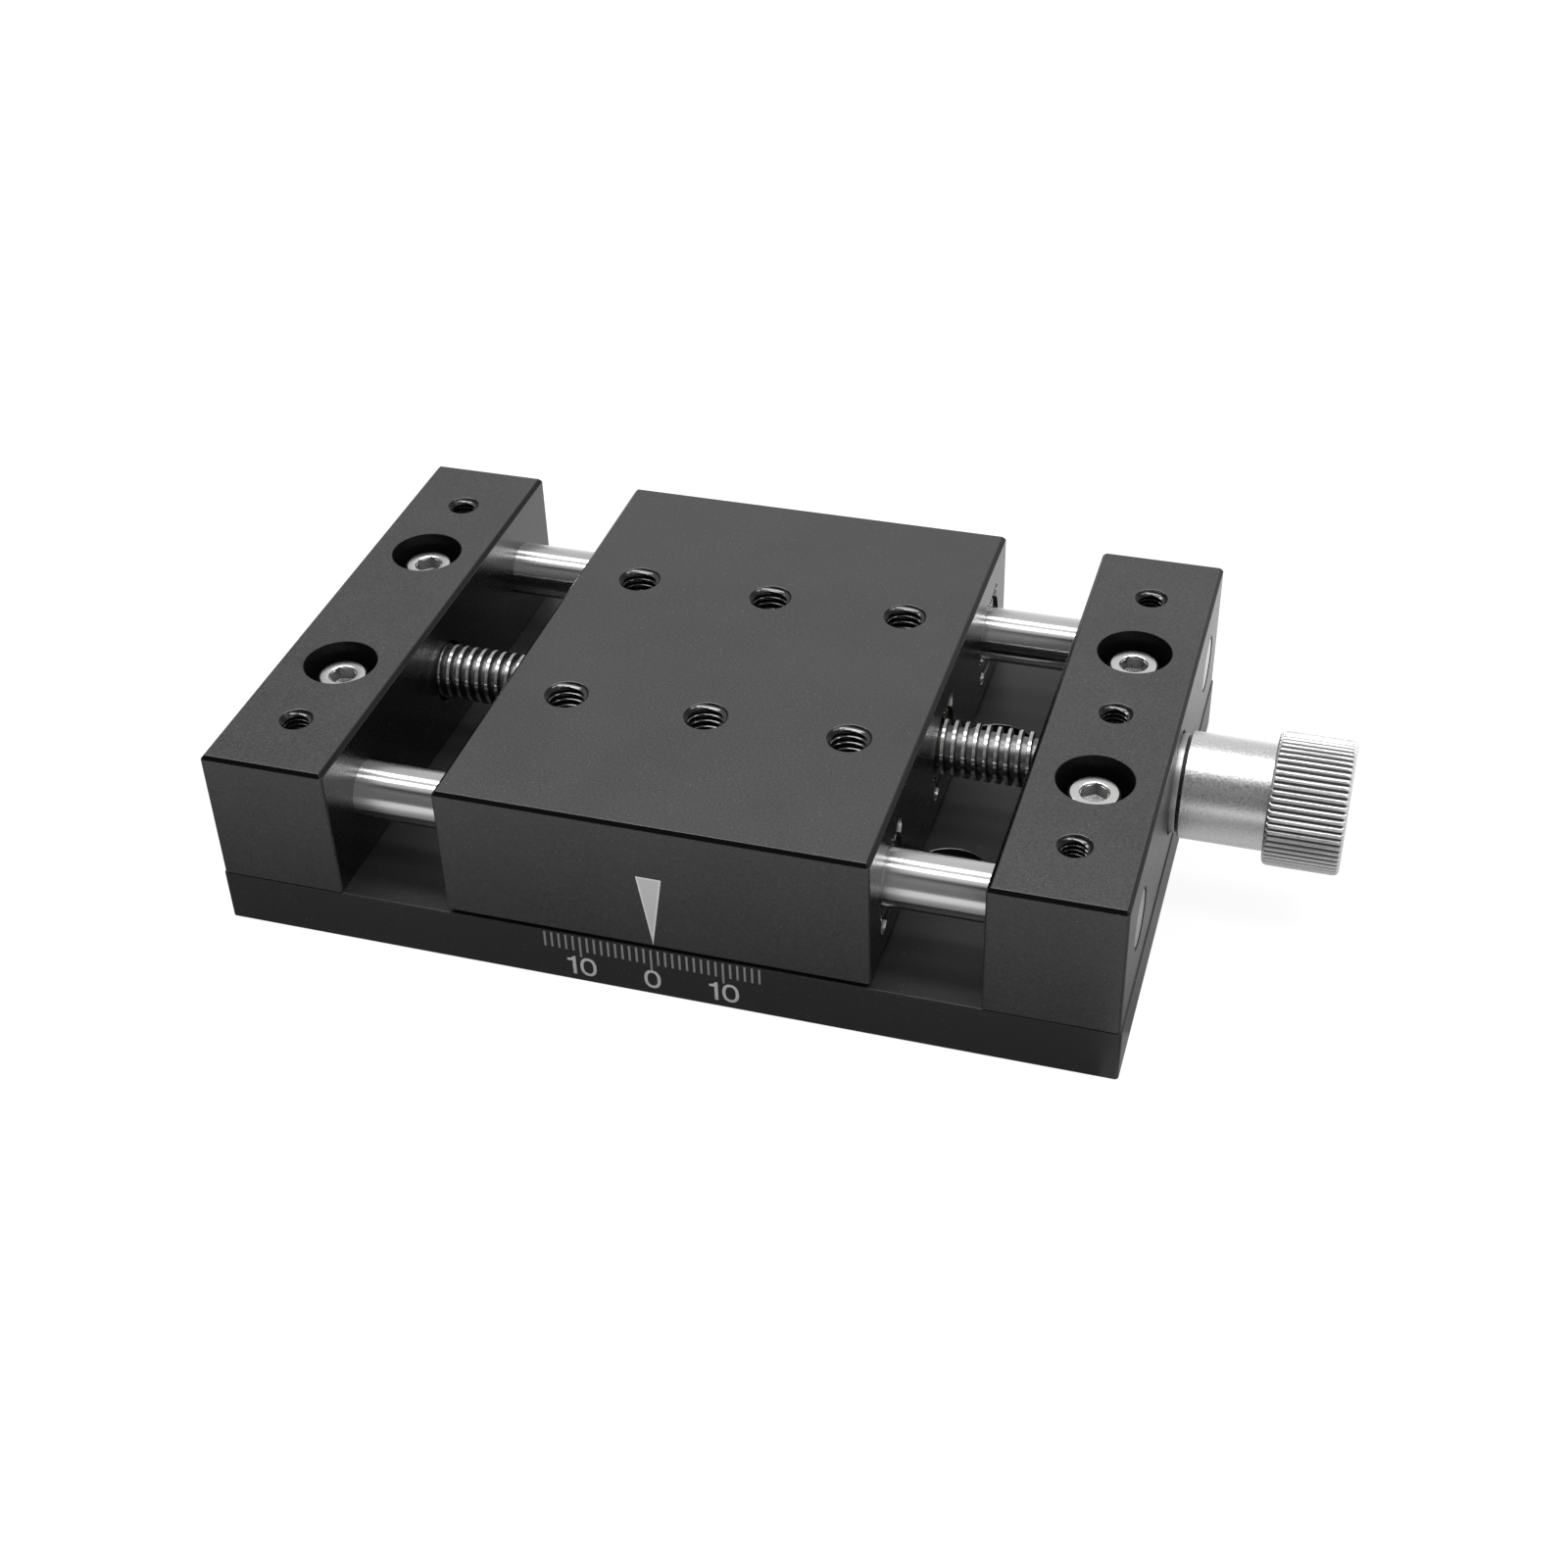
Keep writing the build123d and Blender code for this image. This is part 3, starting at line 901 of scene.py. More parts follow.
def dust_group() -> Tree:
    """Sparse specks of dust that show on dark surfaces.

    Returns:
        The group, which puts out a mask.
    """
    inputs = {"Size": (FLOAT, 0.0006), "Amount": (FLOAT, 0.1)}
    tree = Tree.group("dust_specks", "ShaderNodeTree", inputs, {"Mask": FLOAT})
    place = tree.place()
    scale = tree.math("DIVIDE", 1.0, tree.given("Size"))
    cells = tree.add("ShaderNodeTexVoronoi", {"Vector": place, "Scale": scale})
    speck = tree.math("LESS_THAN", cells.outputs["Distance"], tree.given("Amount"))
    patches = tree.add("ShaderNodeTexNoise", {"Vector": place, "Scale": 160.0, "Detail": 2.0})
    where = tree.math("GREATER_THAN", patches.outputs[0], 0.5)
    tree.finish_values(mask=tree.math("MULTIPLY", speck, where))
    return tree


GRAIN, RINGS, DUST = grain_group(), ring_group(), dust_group()


@dataclass(frozen=True)
class Finish:
    """A surface finish of one material slot."""

    slot: str
    color: tuple[float, float, float]
    roughness: float
    part: str = ""
    metallic: float = 0.0
    ior: float = 1.5
    grain_size: float = 0.2
    grain_height: float = 0.0
    stretch: float = 1.0
    ring_pitch: float = 0.15
    ring_height: float = 0.0
    tone: float = 0.1
    uneven: float = 0.08
    dust: float = 0.0
    ground: float = 0.0

    def material(self) -> bpy.types.Material:
        """The finish as a material, made once and then shared."""
        return bpy.data.materials.get(self.title) or self.made()

    @property
    def title(self) -> str:
        """Name of the material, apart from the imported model's own."""
        return f"look_{self.slot}{self.part}"

    def made(self) -> bpy.types.Material:
        """Builds the material's nodes.

        Returns:
            The new material.
        """
        material = bpy.data.materials.new(self.title)
        tree = Tree.of(material)
        constant = {"Metallic": self.metallic, "IOR": self.ior}
        surface = tree.add("ShaderNodeBsdfPrincipled", constant)
        grain = self.grain(tree)
        tone = tree.math("MULTIPLY_ADD", grain.outputs["Tone"], 2 * self.tone, 1 - self.tone)
        inputs = {0: self.color, "Scale": tone}
        color: Socket = tree.add("ShaderNodeVectorMath", inputs, operation="SCALE").outputs[0]
        if self.dust:
            color = self.dusted(tree, color)
        tree.feed(surface.inputs["Base Color"], color)
        smoothest = self.roughness - self.uneven
        rough = tree.math("MULTIPLY_ADD", grain.outputs["Tone"], 2 * self.uneven, smoothest)
        tree.feed(surface.inputs["Roughness"], rough)
        height: Socket | None = None
        if self.grain_height:
            height = tree.math("MULTIPLY", grain.outputs["Height"], self.grain_height * MM)
        if self.ring_height:
            inputs = {"Pitch": self.ring_pitch * MM}
            rings = tree.add("ShaderNodeGroup", inputs, node_tree=RINGS.tree)
            ridge = tree.math("MULTIPLY", rings.outputs["Height"], self.ring_height * MM)
            height = ridge if height is None else tree.math("ADD", height, ridge)
        if self.ground:
            tangent = tree.add("ShaderNodeTangent", direction_type="RADIAL", axis="X")
            tree.feed(surface.inputs["Tangent"], tangent.outputs[0])
            surface.inputs["Anisotropic"].default_value = self.ground
            surface.inputs["Anisotropic Rotation"].default_value = 0.25
        if height is not None:
            inputs = {"Distance": 1.0, "Strength": 1.0, "Height": height}
            bump = tree.add("ShaderNodeBump", inputs)
            tree.feed(surface.inputs["Normal"], bump.outputs[0])
        tree.end("ShaderNodeOutputMaterial", surface.outputs[0])
        return material

    def grain(self, tree: Tree) -> bpy.types.Node:
        """Adds the shared grain with this finish's size."""
        inputs = {"Size": self.grain_size * MM, "Stretch": self.stretch}
        return tree.add("ShaderNodeGroup", inputs, node_tree=GRAIN.tree)

    def dusted(self, tree: Tree, color: Socket) -> Socket:
        """Adds specks of pale dust to a colour.

        Args:
            tree: The material's tree.
            color: The colour below the dust.

        Returns:
            The dusted colour.
        """
        specks = tree.add("ShaderNodeGroup", {"Amount": self.dust}, node_tree=DUST.tree)
        inputs = {0: specks.outputs["Mask"], 6: color, 7: (0.16, 0.16, 0.16, 1.0)}
        return tree.add("ShaderNodeMix", inputs, data_type="RGBA").outputs[2]


ANODISED = Finish(
    "black_anodised", (0.022, 0.022, 0.0222), 0.36, ior=1.68, grain_size=0.3,
    grain_height=0.014, tone=0.8, uneven=0.08, dust=0.1,
)
# Painted shade: the chamfers of the black pieces and the lips of the tapped holes, near black.
SHADED_CHAMFER = Finish(
    "black_anodised", (0.002, 0.002, 0.002), 0.25, part="_edge", ior=1.28, grain_size=0.16,
    grain_height=0.0004, tone=0.1, uneven=0.03,
)
# Painted shade: the walls of the bores and plain holes, near black.
SHADED_BORE = Finish(
    "black_anodised", (0.004, 0.004, 0.004), 0.4, part="_bore", ior=1.25, grain_size=0.16,
    grain_height=0.001, tone=0.2, uneven=0.03,
)
# Painted shade: the walls of the tapped holes and the rims of the base's counterbores, near black.
TAPPED = Finish(
    "black_anodised", (0.003, 0.003, 0.003), 0.15, part="_thread", ior=2.1, grain_size=0.16,
    grain_height=0.0003, tone=0.1, uneven=0.02,
)
BARE = Finish(
    "black_anodised", (0.7, 0.7, 0.7), 0.3, part="_bare", metallic=1.0, grain_size=0.16,
    grain_height=0.001, tone=0.1, uneven=0.05,
)
# Painted shade: the base plate is darker than the blocks, for the shade between them; the dust is
# real.
SHADED_BASE_ANODISED = Finish(
    "black_anodised", (0.016, 0.016, 0.0162), 0.4, part="_base", ior=1.5, grain_size=0.16,
    grain_height=0.0016, tone=0.12, uneven=0.04, dust=0.1,
)
# Painted shade: end faces that look into the gaps by the carriage, near black.
SHADED_END_FACE = Finish(
    "black_anodised", (0.004, 0.004, 0.004), 0.27, part="_end", ior=1.56, grain_size=0.16,
    grain_height=0.001, tone=0.1, uneven=0.03,
)
BLACK = (ANODISED, SHADED_CHAMFER, SHADED_BORE, TAPPED, BARE, SHADED_END_FACE)  # in the order of the skins
BASE_BLACK = (SHADED_BASE_ANODISED, SHADED_CHAMFER, SHADED_BORE, TAPPED, BARE)
RAIL_STEEL = Finish(
    "polished_rail", (0.78, 0.78, 0.79), 0.22, metallic=1.0, grain_size=0.12,
    grain_height=0.00006, stretch=0.04, tone=0.03, uneven=0.02, ground=1.0,
)
RAIL_END = Finish(
    "polished_rail", (0.42, 0.42, 0.43), 0.3, part="_end", metallic=1.0, grain_size=0.12,
    grain_height=0.0006, tone=0.1, uneven=0.03,
)
SCREW_STEEL = Finish(
    "rolled_screw", (0.8, 0.8, 0.8), 0.34, metallic=1.0, grain_size=0.1,
    grain_height=0.0006, tone=0.06, uneven=0.04, ground=1.0,
)
# Painted shade: the lead screw's roots and flanks, much darker than its crests.
SHADED_ROOT = Finish(
    "rolled_screw", (0.2, 0.2, 0.198), 0.36, part="_root", metallic=1.0, grain_size=0.3,
    grain_height=0.008, tone=0.3, uneven=0.05,
)
PLATED = Finish(
    "plated_screws", (0.8, 0.8, 0.795), 0.22, metallic=1.0, grain_size=0.12,
    grain_height=0.0008, tone=0.08, uneven=0.06,
)
# Painted shade: the hexagon sockets, darker than the screws' outsides.
SHADED_SOCKET = Finish(
    "plated_screws", (0.42, 0.42, 0.42), 0.35, part="_socket", metallic=1.0, grain_size=0.12,
    grain_height=0.0008, tone=0.2, uneven=0.06,
)
BLACK_OXIDE = Finish(
    "black_screws", (0.05, 0.05, 0.05), 0.38, metallic=0.6, grain_size=0.12,
    grain_height=0.001, tone=0.15, uneven=0.06,
)
BRIGHT_SCREW, DARK_SCREW = (PLATED, SHADED_SOCKET), (BLACK_OXIDE, BLACK_OXIDE)
BEARING_STEEL = Finish(
    "bearing_steel", (0.62, 0.62, 0.63), 0.18, metallic=1.0, ring_pitch=0.08,
    ring_height=0.0002, tone=0.05, uneven=0.04,
)
COLLAR_STEEL = Finish(
    "bearing_steel", (0.45, 0.45, 0.455), 0.38, part="_collar", metallic=1.0, ring_pitch=0.08,
    ring_height=0.0003, tone=0.06, uneven=0.04,
)
BLASTED = Finish(
    "knob_aluminium", (0.78, 0.78, 0.78), 0.29, metallic=1.0, grain_size=0.32,
    grain_height=0.022, tone=0.15, uneven=0.05,
)
FLUTED = Finish(
    "knob_aluminium", (0.74, 0.74, 0.74), 0.36, part="_fluted", metallic=1.0, grain_size=0.24,
    grain_height=0.004, tone=0.2, uneven=0.05,
)
# Painted shade: the bottoms of the knob's flutes, much darker than their crests.
SHADED_GROOVE = Finish(
    "knob_aluminium", (0.2, 0.2, 0.2), 0.42, part="_groove", metallic=1.0, grain_size=0.2,
    grain_height=0.002, tone=0.12, uneven=0.04,
)
BRONZE = Finish(
    "bush_bronze", (0.3, 0.285, 0.26), 0.3, metallic=1.0, grain_size=0.1,
    grain_height=0.002, tone=0.15, uneven=0.08,
)
# Brass, darkened far below its own tone as painted shade of the nut's recess.
SHADED_BRASS = Finish(
    "nut_brass", (0.14, 0.125, 0.095), 0.3, metallic=1.0, ring_pitch=0.1,
    ring_height=0.0004, tone=0.06, uneven=0.05,
)
ACETAL = Finish("black_washer", (0.02, 0.02, 0.02), 0.45, grain_size=0.1, grain_height=0.001)
NYLON = Finish("soft_pad", (0.75, 0.73, 0.68), 0.5, grain_size=0.1, grain_height=0.001)
NUMBERS = Finish(
    "mark_paint", (0.84, 0.84, 0.84), 0.45, grain_size=0.08, grain_height=0.0008, tone=0.1
)
TICK_PAINT = Finish(
    "mark_paint", (0.36, 0.36, 0.36), 0.5, part="_ticks", grain_size=0.08, tone=0.2
)
POINTER_FILL = Finish(
    "mark_paint", (0.76, 0.76, 0.76), 0.4, part="_fill", grain_size=0.1, tone=0.08
)
POINTER_RIM = Finish(
    "mark_paint", (0.95, 0.95, 0.95), 0.35, part="_rim", grain_size=0.1, tone=0.05
)


def paint(piece: bpy.types.Object, finishes: Sequence[Finish]) -> None:
    """Gives a piece these finishes in its material slots."""
    for finish in finishes:
        piece.data.materials.append(finish.material())


def settle(piece: bpy.types.Object, body: Body, finish: Finish, *nodes: str) -> None:
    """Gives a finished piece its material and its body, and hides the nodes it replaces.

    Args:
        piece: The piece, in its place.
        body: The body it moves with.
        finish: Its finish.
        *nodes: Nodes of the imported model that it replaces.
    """
    if not any(piece.data.materials):
        piece.data.materials.clear()
        paint(piece, [finish])
    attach(piece, body.value)
    if nodes:
        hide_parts(*nodes)
    log.info("%s: %d faces on %s", piece.name, len(piece.data.polygons), body.value)


def round_piece(shell: Shell, name: str) -> bpy.types.Object:
    """Makes a smoothly shaded piece of a shell."""
    return smooth(shell.to_object(name))


# Small things that repeat


@dataclass(frozen=True)
class TappedHole:
    """A tapped hole about +Z that opens upwards at height zero."""

    radius: float
    bore: float
    pitch: float
    depth: float
    mouth: float
    around: int
    mouth_around: int
    lip: float = 0.08

    def cutters(self, places: Sequence[Place]) -> list[list[Shell]]:
        """The shapes that cut the hole's thread and its countersunk, eased mouth.

        Args:
            places: Where the holes open.

        Returns:
            The threads as one group of cutters, and the mouths as the next one.
        """
        sizes = (-self.depth, 2 * self.pitch, self.pitch, self.bore, self.radius)
        bar = threaded(*sizes, flank=0.3125, around=self.around).clad(Skin.THREAD)
        wide = self.radius + self.mouth
        deep = -self.mouth - (self.radius - self.bore) - 0.05
        outline = [(OVER, 0.0), (OVER, wide + self.lip), (0.0, wide + self.lip)]
        outline += [(-0.4 * self.lip, wide), (deep + 0.05, self.bore)]
        outline += [(deep, self.bore - 0.05), (deep, 0.0)]
        cone = lathe(outline, self.mouth_around, Skin.THREAD, {3: Skin.EDGE})
        return [[shape.moved(Facing.UP, place) for place in places] for shape in (bar, cone)]


M4_TAPPED = TappedHole(2.1, 1.66, 0.7, 10.0, 0.25, 56, 96)
M6_TAPPED = TappedHole(3.0, 2.46, 1.0, 13.0, 0.06, 64, ROUND)


@dataclass
class Fastener:
    """A screw with a hexagon socket, made about +Z with its socket upwards at height zero."""

    radius: float
    length: float
    socket: float
    socket_depth: float
    pitch: float
    head_radius: float = 0.0
    head_height: float = 0.0
    head_ease: float = 0.3
    thread_depth: float = 0.55
    knurl_depth: float = 0.12
    knurl_land: float = 0.3
    knurl_count: float = 36.0

    def shank(self) -> Shell:
        """The threaded part.

        Returns:
            The closed shell, below the head or up to height zero.
        """
        end, root = -self.head_height, self.radius - self.thread_depth * self.pitch
        sizes = (end - self.length, end, self.pitch, root, self.radius)
        return threaded(*sizes, fade=0.5 * self.pitch, around=32, steps=6)

    def socket_cutter(self) -> Shell:
        """The hexagon of the key, with a drilled floor.

        Returns:
            The cutter.
        """
        wide = self.socket / math.sqrt(3)
        depth = self.socket_depth
        outline = [(OVER, 0.0), (OVER, wide), (-depth, wide), (-depth - 0.3 * wide, 0.0)]
        return lathe(outline, 6, Skin.EDGE)

    def mouth_cutter(self) -> Shell:
        """The rounding round the socket's mouth.

        Returns:
            The cutter.
        """
        wide, bend = 0.53 * self.socket, 0.09 * self.socket
        outline = [(OVER, 0.0), (OVER, wide + bend)]
        outline += [(rise, wide + out) for rise, out in quarter(bend)]
        return lathe(outline + [(-bend, 0.0)], 96)

    def top(self) -> Shell:
        """The head, or the plain disc that carries a set screw's socket.

        Returns:
            The closed shell, with its top at height zero.
        """
        if self.head_radius:
            wide, low = self.head_radius, self.head_height
            outline = [(0, 0), (0, wide - self.head_ease), (-self.head_ease, wide)]
            outline += [(-low, wide), (-low, 0)]
            return lathe(eased(outline, 0.12), 216)
        wide = self.radius - 0.02
        low = self.socket_depth + 0.4
        outline = [(0, 0), (0, wide - 0.25), (-0.25, wide), (-low, wide), (-low, 0)]
        return lathe(eased(outline, 0.06), 96)

    def prototype(self, name: str, finishes: Sequence[Finish]) -> bpy.types.Object:
        """Builds one screw.

        Args:
            name: Name of the object.
            finishes: The finishes of its outside and of its socket.

        Returns:
            The screw about +Z, ready to be placed.
        """
        head = self.top().to_object(name + "_head")
        paint(head, finishes)
        if self.head_radius:
            values: dict[str, object] = {
                "Low": -self.head_height * MM,
                "High": -(self.head_ease + 0.2) * MM,
                "Radius": self.head_radius * MM,
                "Depth": self.knurl_depth * MM,
                "Land": self.knurl_land,
                "Count": self.knurl_count,
                "Material": finishes[0].material(),
            }
            grow(head, FLUTES, values)
        tools = [
            self.mouth_cutter().to_object(name + "_mouth"),
            self.socket_cutter().to_object(name + "_socket"),
        ]
        for tool in tools:
            paint(tool, finishes)
        screw = cut(head, tools, name, "TRANSFER")
        absorb(screw, self.shank().clad(Skin.FACE).to_object(name + "_shank"))
        return smooth(screw)

    def build(
        self,
        node: str,
        body: Body,
        finishes: Sequence[Finish],
        places: Sequence[Place],
        facing: Sequence[Place],
        rolls: Sequence[float],
    ) -> None:
        """Builds and dresses copies of the screw as one plain mesh.

        Args:
            node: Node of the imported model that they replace.
            body: The body they move with.
            finishes: The finishes of the outside and of the socket.
            places: The middle of each screw's top face.
            facing: Which way each top face looks.
            rolls: How far each screw is turned about its own axis, in degrees.
        """
        name = node + "_set"
        proto = self.prototype(name + "_one", finishes)
        mesh = bpy.data.meshes.new(name + "_points")
        mesh.from_pydata([[size * MM for size in place] for place in places], [], [])
        way = mesh.attributes.new("facing", "FLOAT_VECTOR", "POINT")
        way.data.foreach_set("vector", [size for direction in facing for size in direction])
        roll = mesh.attributes.new("roll", "FLOAT", "POINT")
        roll.data.foreach_set("value", [math.radians(angle) for angle in rolls])
        base = link(name + "_points", mesh)
        outside, socket = (finish.material() for finish in finishes)
        grow(base, PLACING, {"Piece": proto, "Material": outside, "Socket": socket})
        made = plain(base, name)
        bpy.data.objects.remove(proto)
        settle(made, body, finishes[0], node)


M4_CAP = Fastener(2.0, 20.0, 3.5, 2.0, 0.7, 3.5, 4.0)
M4_GRUB = Fastener(2.0, 1.3, 2.0, 1.3, 0.7)
LONG_GRUB = Fastener(2.0, 2.3, 2.0, 1.3, 0.7)
KEY_SCREW = Fastener(1.5, 4.6, 1.5, 1.0, 0.5)


# Sub-assemblies


@dataclass
class BasePlate:
    """The base plate with its sunk mounting holes."""

    length: float = 125.0
    corner: float = 0.5
    mount_places: Point = (34.5, 15.0)
    counterbore: Point = (5.5, 6.3)
    mount_radius: float = 3.3
    tapped: Point = (2.1, 7.0)

    def build(self) -> None:
        """Builds and dresses the plate."""
        size, edges = (self.length, WIDTH, BASE_HEIGHT), (LOW_CHAMFER, LOW_CHAMFER)
        block = rounded_plate(size, (0, 0, 0), edges, self.corner)
        outline = hole(self.counterbore, (self.mount_radius, BASE_HEIGHT + OVER), lip=0.16)
        sunk = lathe(outline, ROUND, Skin.BORE, {2: Skin.THREAD, 3: Skin.THREAD})
        tapped = lathe(hole(self.tapped), 48, Skin.BORE)
        places = ((sunk, self.mount_places), (tapped, (BLOCK_MIDDLE, CAP_PLACE)))
        cutters = [
            shape.moved(Facing.UP, (sign_x * x, sign_y * y, BASE_HEIGHT))
            for sign_x in BOTH
            for sign_y in BOTH
            for shape, (x, y) in places
        ]
        plate = carved(block, [cutters], "base_plate_body", BASE_BLACK)
        settle(plate, Body.FRAME, SHADED_BASE_ANODISED, "base_plate")


@dataclass
class EndBlock:
    """An end block, with the bores for rails and bearings and the screws' holes."""

    side: int
    length: float = 17.8
    height: float = 20.0
    corner: float = 0.5
    end_face: float = 62.3
    rail_bore: float = 4.01
    passage: float = 4.5
    pocket: float = 6.51
    shoulder: float = 5.01
    collar_pocket: float = 7.2
    idle_seat: float = 57.0
    inboard_seat: float = 49.5
    outboard: Point = (56.5, 61.5)
    cap_sink: Point = (5.15, 6.0)
    cap_hole: float = 2.25

    @property
    def top(self) -> float:
        """Height of the top face."""
        return BASE_HEIGHT + self.height

    def axis_cutter(self) -> Shell:
        """The bores round the lead screw, as one stepped shape along X.

        Returns:
            The cutter.
        """
        inner, outer = self.end_face - self.length, self.end_face
        if self.side < 0:
            steps = open_end(outer, 1, self.pocket)
            steps += [(self.idle_seat, self.pocket), (self.idle_seat, self.passage)]
            steps += reversed(open_end(inner, -1, self.passage, 0.1, 0.1))
        else:
            start, end = self.outboard
            steps = open_end(inner, -1, self.pocket)
            steps += [(self.inboard_seat, self.pocket), (self.inboard_seat, self.shoulder)]
            steps += [(start, self.shoulder), (start, self.pocket), (end, self.pocket)]
            steps += [(end, self.collar_pocket)]
            steps += reversed(open_end(outer, 1, self.collar_pocket))
        shape = lathe(steps, ROUND, Skin.BORE)
        return shape.moved(Facing.end(self.side), (0, 0, AXIS_HEIGHT))

    def rail_cutter(self, sign: int) -> Shell:
        """A rail's bore, countersunk in the outer face.

        Args:
            sign: -1 for the front rail and 1 for the rear one.

        Returns:
            The cutter.
        """
        outline = hole((self.rail_bore, self.length + OVER), lip=0.05, mouth=0.2)
        place = (self.side * self.end_face, sign * RAIL_PLACE, AXIS_HEIGHT)
        return lathe(outline, ROUND, Skin.BORE).moved(Facing.end(self.side), place)

    def build(self, name: str) -> None:
        """Builds and dresses the block.

        Args:
            name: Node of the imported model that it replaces.
        """
        x = self.side * BLOCK_MIDDLE
        size, edges = (self.length, WIDTH, self.height), (LOW_CHAMFER, TOP_CHAMFER)
        # The end face towards the carriage takes the end skin, painted shade.
        block = rounded_plate(size, (x, 0, BASE_HEIGHT), edges, self.corner, (-self.side,))
        bores = [self.axis_cutter()] + [self.rail_cutter(sign) for sign in BOTH]
        through = (self.cap_hole, self.height + OVER)
        sunk = lathe(hole(self.cap_sink, through), ROUND, Skin.BORE)
        sinks = [sunk.moved(Facing.UP, (x, sign * CAP_PLACE, self.top)) for sign in BOTH]
        rows = (-RAIL_PLACE, RAIL_PLACE) + ((0.0,) if self.side > 0 else ())
        taps = M4_TAPPED.cutters([(x, y, self.top) for y in rows])
        piece = carved(block, [bores, sinks, *taps], name + "_body", BLACK)
        settle(piece, Body.FRAME, ANODISED, name)


@dataclass
class Rails:
    """The two ground and polished rails."""

    radius: float = 4.0
    reach: float = 62.2
    chamfer: float = 0.3

    def build(self) -> None:
        """Builds and dresses both rails."""
        end, wide, cut = self.reach, self.radius, self.chamfer
        outline = [(-end, 0), (-end, wide - cut), (-end + cut, wide)]
        outline += [(end - cut, wide), (end, wide - cut), (end, 0)]
        curve = eased(outline, 0.12)
        bar = lathe(curve, 160, runs={0: Skin.EDGE, len(curve) - 2: Skin.EDGE})
        for name, y in (("rail_front", -RAIL_PLACE), ("rail_rear", RAIL_PLACE)):
            rod = round_piece(on_axis(bar, y=y), name + "_rod")
            paint(rod, (RAIL_STEEL, RAIL_END))
            settle(rod, Body.FRAME, RAIL_STEEL, name)


@dataclass
class LeadScrew:
    """The lead screw with its trapezoidal right-hand thread and turned journals."""

    start: float = -56.5
    end: float = 44.5
    idle_tip: float = -62.0
    drive_tip: float = 79.0
    pitch: float = 1.5
    crest: float = 4.0
    root: float = 3.1
    journal: float = 3.0
    ease: float = 0.4
    flat_middle: float = 69.25
    flat_depth: float = 0.5
    flat_length: float = 8.0

    def build(self) -> None:
        """Builds and dresses the screw."""
        sizes = (self.start, self.end, self.pitch, self.root, self.crest)
        thread = threaded(*sizes, flank=0.1, land=0.3, fade=0.8, around=64, steps=20)
        wide, neck, ease = self.journal, self.journal - self.ease, self.ease
        core = [(self.idle_tip, 0), (self.idle_tip, neck), (self.idle_tip + ease, wide)]
        core += [(self.drive_tip - ease, wide), (self.drive_tip, neck), (self.drive_tip, 0)]
        size, sharp = (self.flat_length, 2 * wide, OVER), (0.01, 0.01)
        place = (self.flat_middle, 0, AXIS_HEIGHT - wide + self.flat_depth - OVER)
        flat = rounded_plate(size, place, sharp, sharp[0]).clad(Skin.FACE)
        shaft = on_axis(lathe(eased(core, 0.08), 96))
        rod = carved(shaft, [[flat]], "lead_screw_rod", (SCREW_STEEL, SHADED_ROOT))
        absorb(rod, on_axis(thread).to_object("lead_screw_thread"))
        settle(smooth(rod), Body.SCREW, SCREW_STEEL, "lead_screw")


@dataclass
class Bearings:
    """The three shielded ball bearings."""

    outer: float = 6.5
    bore: float = 3.01
    width: float = 5.0
    wall: float = 1.1
    starts: dict[str, float] = field(
        default_factory=lambda: {"idle": -62.0, "inboard": 44.5, "outboard": 56.5}
    )

    def build(self) -> None:
        """Builds and dresses both races of each bearing, with pressed shields."""
        wide, far = self.outer, self.width
        track, crown = wide - self.wall, self.bore + self.wall
        lip = crown + 0.3
        shield = [(0.05, track), (0.2, track - 0.3), (0.3, lip + 0.5)]
        shield += [(0.2, lip), (0.6, lip), (0.6, track)]
        outer = [(0, wide), (0, track), *shield]
        outer += [(far - along, radius) for along, radius in reversed(outer)]
        inner = [(0, self.bore), (0, crown), (far, crown), (far, self.bore)]
        for name, start in self.starts.items():
            rim, ring = lathe(eased(outer, 0.06, 2), ROUND), lathe(eased(inner, 0.15), ROUND)
            for part, shape, body in (("outer", rim, Body.FRAME), ("inner", ring, Body.SCREW)):
                node = f"{name}_bearing_{part}"
                race = round_piece(on_axis(shape, start), node + "_race")
                settle(race, body, BEARING_STEEL, node)


